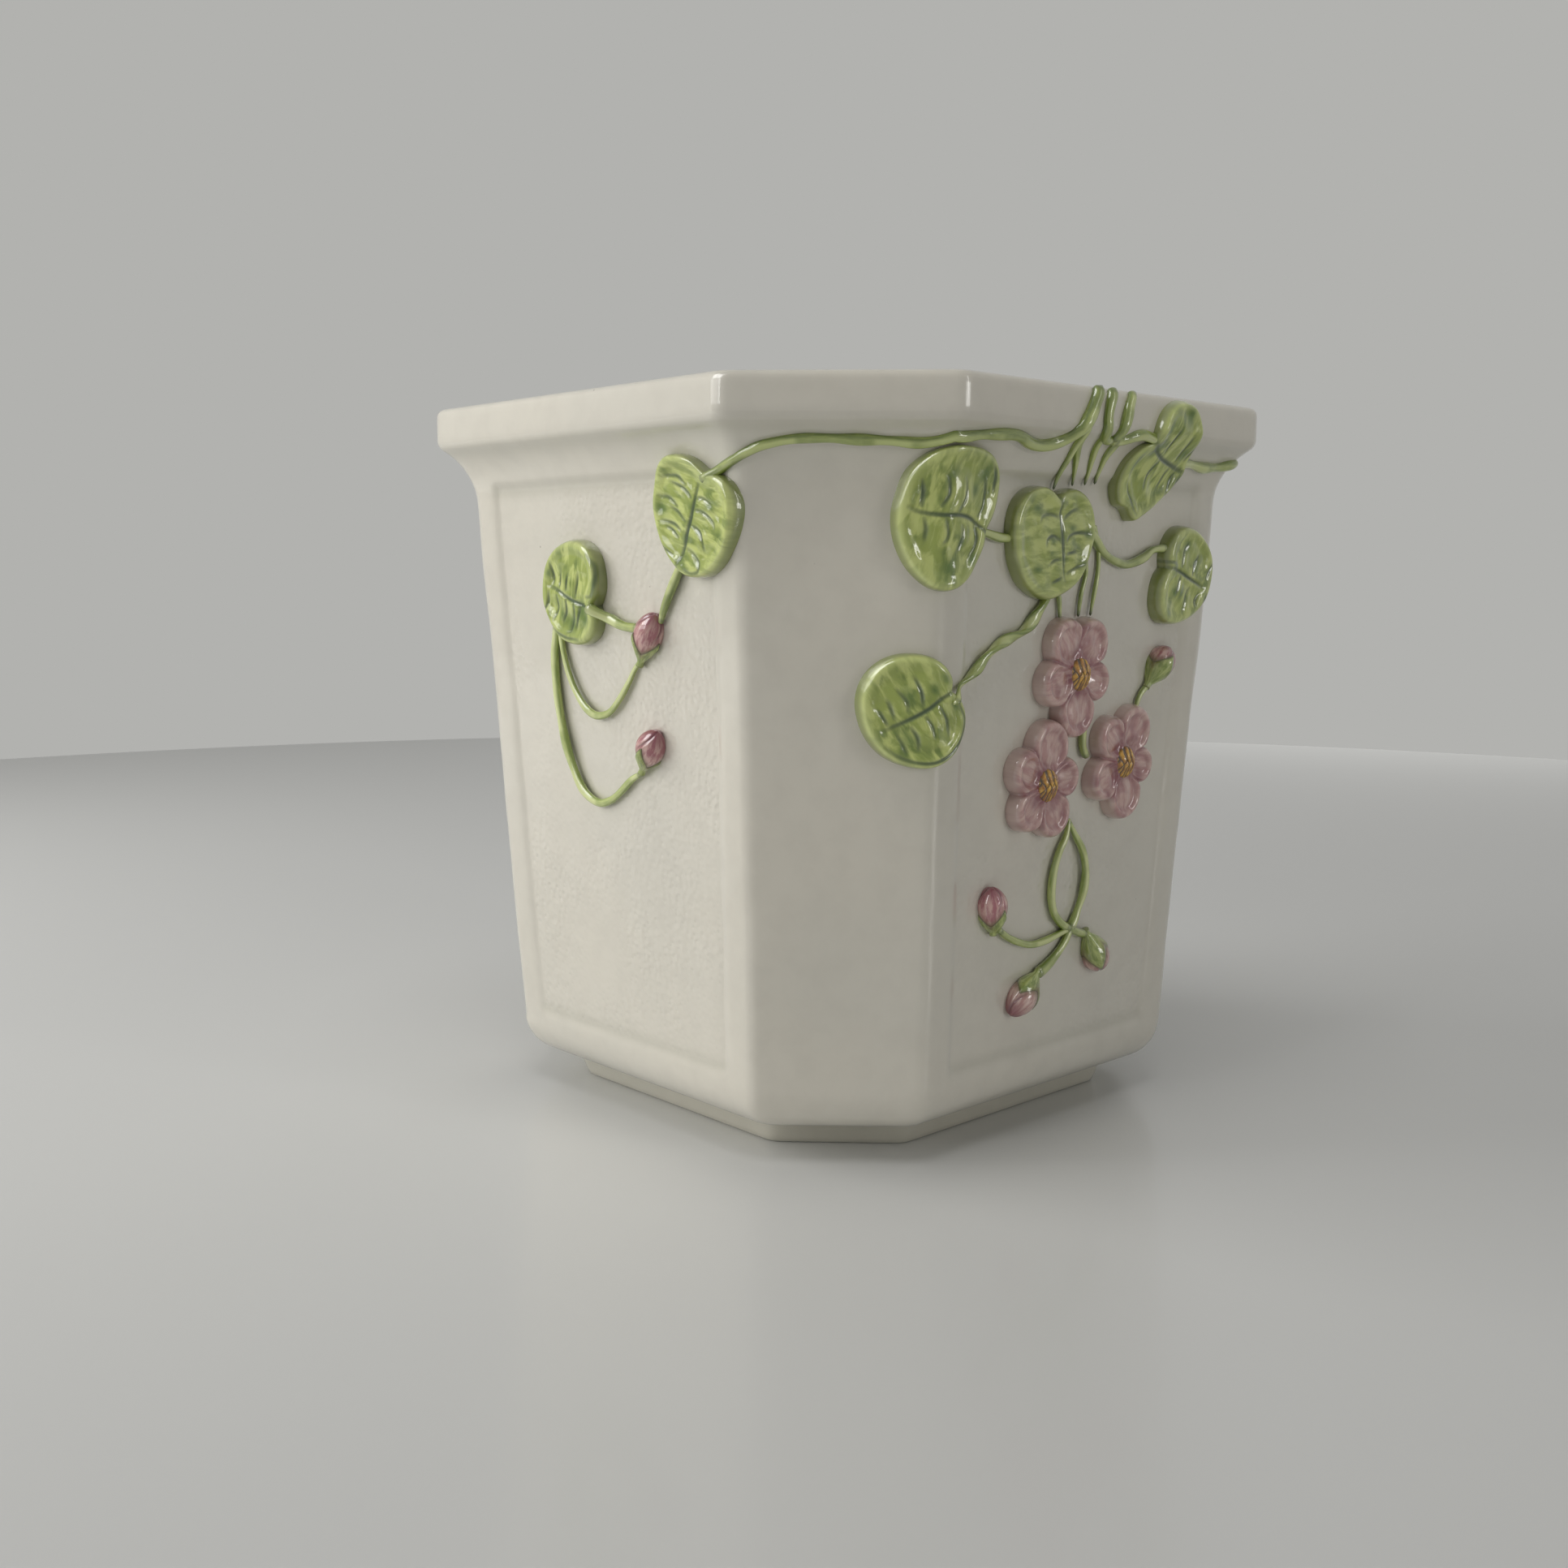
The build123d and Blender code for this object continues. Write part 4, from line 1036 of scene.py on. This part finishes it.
# The dark nick behind a stem's end, the length of a tendril's dark tip, and the least gap below the rim
NICK_AT, NICK_WIDTH, DARK_TIP, RIM_GAP = 1.2, 0.6, 3.0, 0.03
# A face, a share of the usual width, and places: thousandths of half the face's width across, counting on
# past its corners by 2000 a face, and thousandths of the height. After them what shapes a stem otherwise
STEMS = {
    "vine": (FRONT, 1, [(-3180, 880), (-3145, 884), (-3099, 889), (-3041, 896), (-3000, 900), (-2836, 911),
        (-2668, 918), (-2350, 924), (-1900, 923), (-1550, 921), (-1260, 919), (-1000, 925), (-870, 930),
        (-752, 933), (-647, 933), (-544, 926), (-465, 925), (-385, 930), (-320, 941), (-265, 960),
        (-229, 979), (-200, 997)],
        dict(widths=(0.9, 0.78, 0.85, 0.9, 1.0, 1.1, 1.2), lift=(2.0, 0), tone=0.1)),
    "rim_loop_middle": (FRONT, 1.05, [(-45, 936), (-115, 940), (-139, 955), (-128, 978), (-105, 997)],
        dict(flat=0.85, widths=(0.8, 1.0, 0.9))),
    "rim_loop_right": (FRONT, 1.05, [(-45, 936), (-29, 950), (-11, 965), (5, 980), (35, 997)],
        dict(flat=0.85, widths=(0.8, 1.0, 0.9))),
    "vine_to_rim_leaf": (FRONT, 1, [(-50, 937), (8, 938), (56, 942), (116, 946), (207, 943), (268, 940)],
        dict(widths=(1.0, 0.9))),
    "vine_round_right_corner": (FRONT, 1, [(530, 919), (640, 918), (760, 915), (880, 917), (1000, 922),
        (1400, 926), (2000, 921), (2600, 924), (3000, 918), (3160, 908), (3310, 890), (3440, 850)]),
    "stem_corner_leaf_to_heart": (FRONT, 0.8, [(-830, 818), (-740, 815), (-650, 810), (-550, 809),
        (-480, 808)]),
    "stem_heart_to_right_leaf": (FRONT, 0.85, [(-40, 828), (30, 812), (100, 795), (191, 784), (293, 779),
        (413, 787), (500, 799), (600, 802)]),
    "stem_twisted": (FRONT, 0.88, [(-250, 755), (-321, 726), (-384, 706), (-459, 691), (-593, 679),
        (-685, 664), (-765, 645), (-837, 632), (-905, 621), (-960, 607)],
        dict(twist=24.0, flat=0.66, widths=(1.0, 1.2, 1.2, 1.15, 0.9, 0.7), lift=(0, 3.4))),
    "stem_leaf_to_bud": (LEFT, 0.85, [(640, 784), (600, 767), (560, 751), (515, 733), (478, 716),
        (450, 700)], dict(widths=(0.95, 0.95, 0.6))),
    "stem_leaf_to_bud_low": (LEFT, 0.95, [(-10, 722), (50, 711), (109, 702), (182, 696), (257, 694),
        (310, 694)], dict(widths=(1.1, 1.1, 0.95, 0.8), lift=(3.6, 0), tone=0.8)),
    "loop_left_inner": (LEFT, 0.8, [(-335, 697), (-327, 662), (-297, 631), (-243, 603), (-163, 581),
        (-76, 572), (25, 578), (119, 599), (192, 621), (250, 641), (292, 650)],
        dict(widths=(0.8, 0.8, 0.95, 0.75, 0.6), tone=1.0, flat=0.8)),
    "loop_left_outer": (LEFT, 0.95, [(-360, 697), (-395, 654), (-402, 618), (-392, 579), (-366, 540),
        (-324, 505), (-253, 471), (-176, 455), (-90, 450), (0, 457), (85, 471), (180, 490), (258, 500)],
        dict(widths=(0.9, 0.95, 1.0, 0.8, 0.6), tone=1.0, flat=0.8)),
    "flower_tail": (FRONT, 0.75, [(55, 580), (53, 556), (58, 536), (80, 524), (102, 519)]),
    "stem_bud_right": (FRONT, 0.8, [(470, 570), (487, 588), (514, 601), (555, 610), (585, 616)],
        dict(widths=(0.5, 0.6, 0.9))),
    "loop_below_left": (FRONT, 0.74, [(3, 436), (-18, 412), (-60, 394), (-95, 370), (-107, 346),
        (-100, 324), (-67, 304), (-6, 289), (55, 281)],
        dict(widths=(0.4, 0.9, 1.0, 1.0, 1.05, 1.0), tone=1.0)),
    "loop_below_right": (FRONT, 0.74, [(-8, 436), (55, 412), (120, 390), (160, 365), (167, 343), (153, 322),
        (123, 304), (94, 288), (62, 277)], dict(widths=(0.4, 0.9, 1.0, 1.0, 1.05, 1.0), tone=1.0)),
    "stem_bud_front_left": (FRONT, 0.7, [(70, 280), (-20, 275), (-130, 270), (-240, 269), (-340, 276),
        (-430, 286.5), (-515, 301)], dict(tone=0.8)),
    "stem_bud_front_middle": (FRONT, 0.8, [(30, 283), (85, 277), (150, 270), (210, 266)]),
    "stem_bud_front_low": (FRONT, 0.8, [(75, 281), (30, 262), (-30, 247), (-105, 234), (-190, 224)],
        dict(widths=(0.85, 0.9, 1.2, 1.2), tone=0.5)),
    "stem_bud_far_upper": (RIGHT, 0.8, [(-420, 745), (-330, 680), (-200, 635), (-80, 612), (-25, 620)]),
    "stem_bud_far_lower": (RIGHT, 0.9, [(-580, 745), (-680, 660), (-660, 570), (-540, 495), (-380, 460),
        (-260, 457), (-200, 468)]),
}
# Thin pointed stems: widths along them, and places as above
TENDRILS = {
    "hanging_tips": ((1.0, 1.0, 0.9, 0.7, 0.3), [
        [(-270, 960), (-252, 932), (-247, 912), (-268, 893), (-290, 872)],
        [(-265, 952), (-233, 929), (-191, 910), (-165, 893), (-158, 878)],
        [(-125, 950), (-113, 931), (-87, 914), (-70, 897), (-70, 880)],
        [(2, 940), (-2, 919), (4, 904), (0, 882)]]),
    "flower_stems": ((0.65, 0.65, 0.4), [
        [(-220, 760), (-207, 742), (-193, 727), (-178, 704)],
        [(-40, 795), (-12, 771), (-18, 757), (-36, 738), (-45, 709)],
        [(20, 830), (55, 810), (74, 792), (79, 768), (65, 742), (48, 710)]]),
}


def route_over(face, points):
    """Evenly spaced places and heights of a smooth curve over the outside, and the way along it."""
    line = bent([(face / 45 + across / 2000, height / 1000 * TOTAL) for across, height in points], 24)
    along = waypoints(on_faces(*line.T))
    even = np.linspace(0, along[-1], int(along[-1] / STEM_STEP) + 1)
    return evened(line, along, even), even


def stem(name, node, face, width, points, widths=(0.95, 0.95), pointed=False, twist=0.0, flat=1.0,
         lift=(0, 0), tone=0.5):
    """A rolled coil half sunk in the wall.

    Widths are shares of its width, evenly spaced along it. Twist is the length of one turn of a flattened
    coil. Lift raises its two ends on to what they are pressed against."""
    draw = seeded(name)
    route, along = route_over(face, points)
    total = along[-1]
    share = np.interp(along / total, np.linspace(0, 1, len(widths)), widths)
    share = share * (1 + WAVER * waves(along[:, None], WAVER_LENGTH, int(draw.integers(1000)), 6))
    full = width / 2 * share
    radius = full
    raised = width * STEM_RISE * np.minimum(share, 1)
    for way, end_lift in ((along, lift[0]), (total - along, lift[1])):
        blunt = np.minimum(way / (BLUNT_END * full), 1)
        radius = radius * np.sqrt(np.clip(1 - (1 - blunt) ** 2, 0.02, 1))
        raised = raised + end_lift * smooth(LIFT_LENGTH, 1, way)
    centre = settle(on_faces(*route.T), raised)
    normal = outward(centre)
    tangent = np.gradient(centre, axis=0)
    tangent /= np.linalg.norm(tangent, axis=1, keepdims=True)
    side = np.cross(normal, tangent)
    around = np.linspace(0, 2 * pi, STEM_COLUMNS, endpoint=False) + 0 * along[:, None]
    u = radius[:, None] * np.cos(around)
    v = radius[:, None] * np.sin(around) * flat
    turn = 2 * pi * along[:, None] / twist if twist else 0.0
    across = u * np.cos(turn) - v * np.sin(turn)
    up = u * np.sin(turn) + v * np.cos(turn)
    rows = centre[:, None] + across[..., None] * side[:, None] + up[..., None] * normal[:, None]
    rows[..., 2] = np.minimum(rows[..., 2], TOTAL - RIM_GAP)
    crest = (abs(np.sin(around)) if twist else np.sin(around)) ** 3
    nick = 0.6 * bell(np.minimum(along, total - along) - NICK_AT, NICK_WIDTH)
    if pointed:
        nick = smooth(total - DARK_TIP, total, along)
    spot = np.stack([along[:, None] + 0 * around, 3 * np.cos(around), 3 * np.sin(around)], -1)
    spot[..., 0] += draw.uniform(0, 200)
    closed_mesh(name, rows, centre[0], centre[-1], STEM, "stem_green", [node], crest=crest,
                tone=tone + 0 * crest, spot=spot, nick=nick[:, None] + 0 * crest)


for name, (face, share, points, *shape) in STEMS.items():
    stem(name + "_coil", name, face, share * STEM_WIDTH, points, **dict(*shape))
for name, (widths, routes) in TENDRILS.items():
    for number, points in enumerate(routes):
        stem(f"{name}_{number + 1}", name, FRONT, TENDRIL_WIDTH, points, widths, pointed=True)


# Stage: floor, light and camera

FLOOR_RADIUS, FLOOR_SIDES = 1.15, 180
WARM, DAY, PLAIN = (1.0, 0.985, 0.955), (1.0, 0.99, 0.97), (1, 1, 1)
SKY_STRENGTH, BACKDROP = 0.11, (178, 178, 175)
LIT_HEIGHT = 0.11
# Heading, height above the horizon, distance, width, height, power, colour, and where it isn't seen
LAMPS = {
    "key": (134, 20, 1.05, 0.75, 0.75, 6.5, WARM, "visible_glossy"),
    "window_left": (184, 25, 1.5, 0.14, 0.9, 1.5, DAY),
    "window_left_wide": (164, 15, 1.5, 1.1, 0.36, 2.6, DAY),
    "window_front": (283, 25, 1.5, 0.1, 0.9, 1.1, WARM),
    "window_front_wide": (283, 8, 1.5, 0.5, 0.28, 1.8, WARM),
    "fill": (20, 10, 1.5, 0.9, 0.5, 4.0, DAY, "visible_glossy"),
    "top": (215, 74, 1.2, 0.6, 0.6, 3.8, DAY, "visible_glossy"),
    "glint": (166, 42, 1.5, 0.9, 0.9, 12, PLAIN, "visible_diffuse"),
}
FOCAL_PIXELS, FRAME_PIXELS, SENSOR, CLIP_START = 1998.73, 1932.0, 36.0, 0.01
CAMERA_TURN, CAMERA_PITCH, CAMERA_ROLL = radians(-42.739), radians(7.158), radians(0.113)
CAMERA_BACK, CAMERA_ASIDE, CAMERA_HEIGHT = 0.52656, -0.01865, 0.15882


def studio_floor():
    """A round plain floor with a soft shine."""
    turns = [2 * pi * k / FLOOR_SIDES for k in range(FLOOR_SIDES)]
    mesh = bpy.data.meshes.new("floor")
    mesh.from_pydata([(FLOOR_RADIUS * cos(t), FLOOR_RADIUS * sin(t), 0) for t in turns], [],
                     [tuple(range(FLOOR_SIDES))])
    mesh.materials.append(Paint("floor_white").finish((211, 212, 211), None, None, 0.35, 0.4, 0.12))
    floor = bpy.data.objects.new("floor", mesh)
    bpy.context.scene.collection.objects.link(floor)


def studio_world():
    """Faint even light on the pot, and a grey room behind it and in its glaze."""
    world = bpy.data.worlds.new("studio")
    bpy.context.scene.world = world
    world.use_nodes = True
    tree = world.node_tree
    sky = tree.nodes["Background"]
    sky.inputs["Color"].default_value = (*WARM, 1)
    sky.inputs["Strength"].default_value = SKY_STRENGTH
    backdrop = tree.nodes.new("ShaderNodeBackground")
    backdrop.inputs["Color"].default_value = (*linear(*BACKDROP), 1)
    rays = tree.nodes.new("ShaderNodeLightPath").outputs
    seen = rays["Is Camera Ray"]
    for ray in ("Is Glossy Ray", "Is Transmission Ray"):
        either = tree.nodes.new("ShaderNodeMath")
        either.operation = "MAXIMUM"
        tree.links.new(seen, either.inputs[0])
        tree.links.new(rays[ray], either.inputs[1])
        seen = either.outputs[0]
    chooser = tree.nodes.new("ShaderNodeMixShader")
    for number, socket in enumerate((seen, sky.outputs[0], backdrop.outputs[0])):
        tree.links.new(socket, chooser.inputs[number])
    tree.links.new(chooser.outputs[0], tree.nodes["World Output"].inputs["Surface"])


def lamp(name, heading, elevation, distance, width, height, power, colour, unseen=None):
    """A soft box that faces the middle of the pot."""
    data = bpy.data.lights.new(name, "AREA")
    data.shape = "RECTANGLE"
    data.size, data.size_y = width, height
    data.energy = power
    data.color = colour
    made = bpy.data.objects.new(name, data)
    h, e = radians(heading), radians(elevation)
    target = Vector((0, 0, LIT_HEIGHT))
    made.location = target + distance * Vector((cos(h) * cos(e), sin(h) * cos(e), sin(e)))
    made.rotation_euler = (target - made.location).to_track_quat("-Z", "Y").to_euler()
    if unseen:
        setattr(made, unseen, False)
    bpy.context.scene.collection.objects.link(made)


def studio_camera():
    """The camera that the photograph was taken with, as fitted to the pot's corners."""
    back = Vector((sin(CAMERA_TURN), -cos(CAMERA_TURN), 0))
    right = Vector((cos(CAMERA_TURN), sin(CAMERA_TURN), 0))
    eye = back * CAMERA_BACK + right * CAMERA_ASIDE + Vector((0, 0, CAMERA_HEIGHT))
    look = -back * cos(CAMERA_PITCH) - Vector((0, 0, sin(CAMERA_PITCH)))
    up = right.cross(look)
    x_axis = right * cos(CAMERA_ROLL) + up * sin(CAMERA_ROLL)
    y_axis = up * cos(CAMERA_ROLL) - right * sin(CAMERA_ROLL)
    data = bpy.data.cameras.new("camera")
    data.sensor_width = SENSOR
    data.lens = FOCAL_PIXELS / FRAME_PIXELS * SENSOR
    data.clip_start = CLIP_START
    camera = bpy.data.objects.new("camera", data)
    camera.matrix_world = Matrix.Translation(eye) @ Matrix((x_axis, y_axis, -look)).transposed().to_4x4()
    bpy.context.scene.collection.objects.link(camera)
    bpy.context.scene.camera = camera


studio_floor()
studio_world()
for name, values in LAMPS.items():
    lamp(name, *values)
studio_camera()
bpy.context.scene.view_settings.view_transform = "Standard"
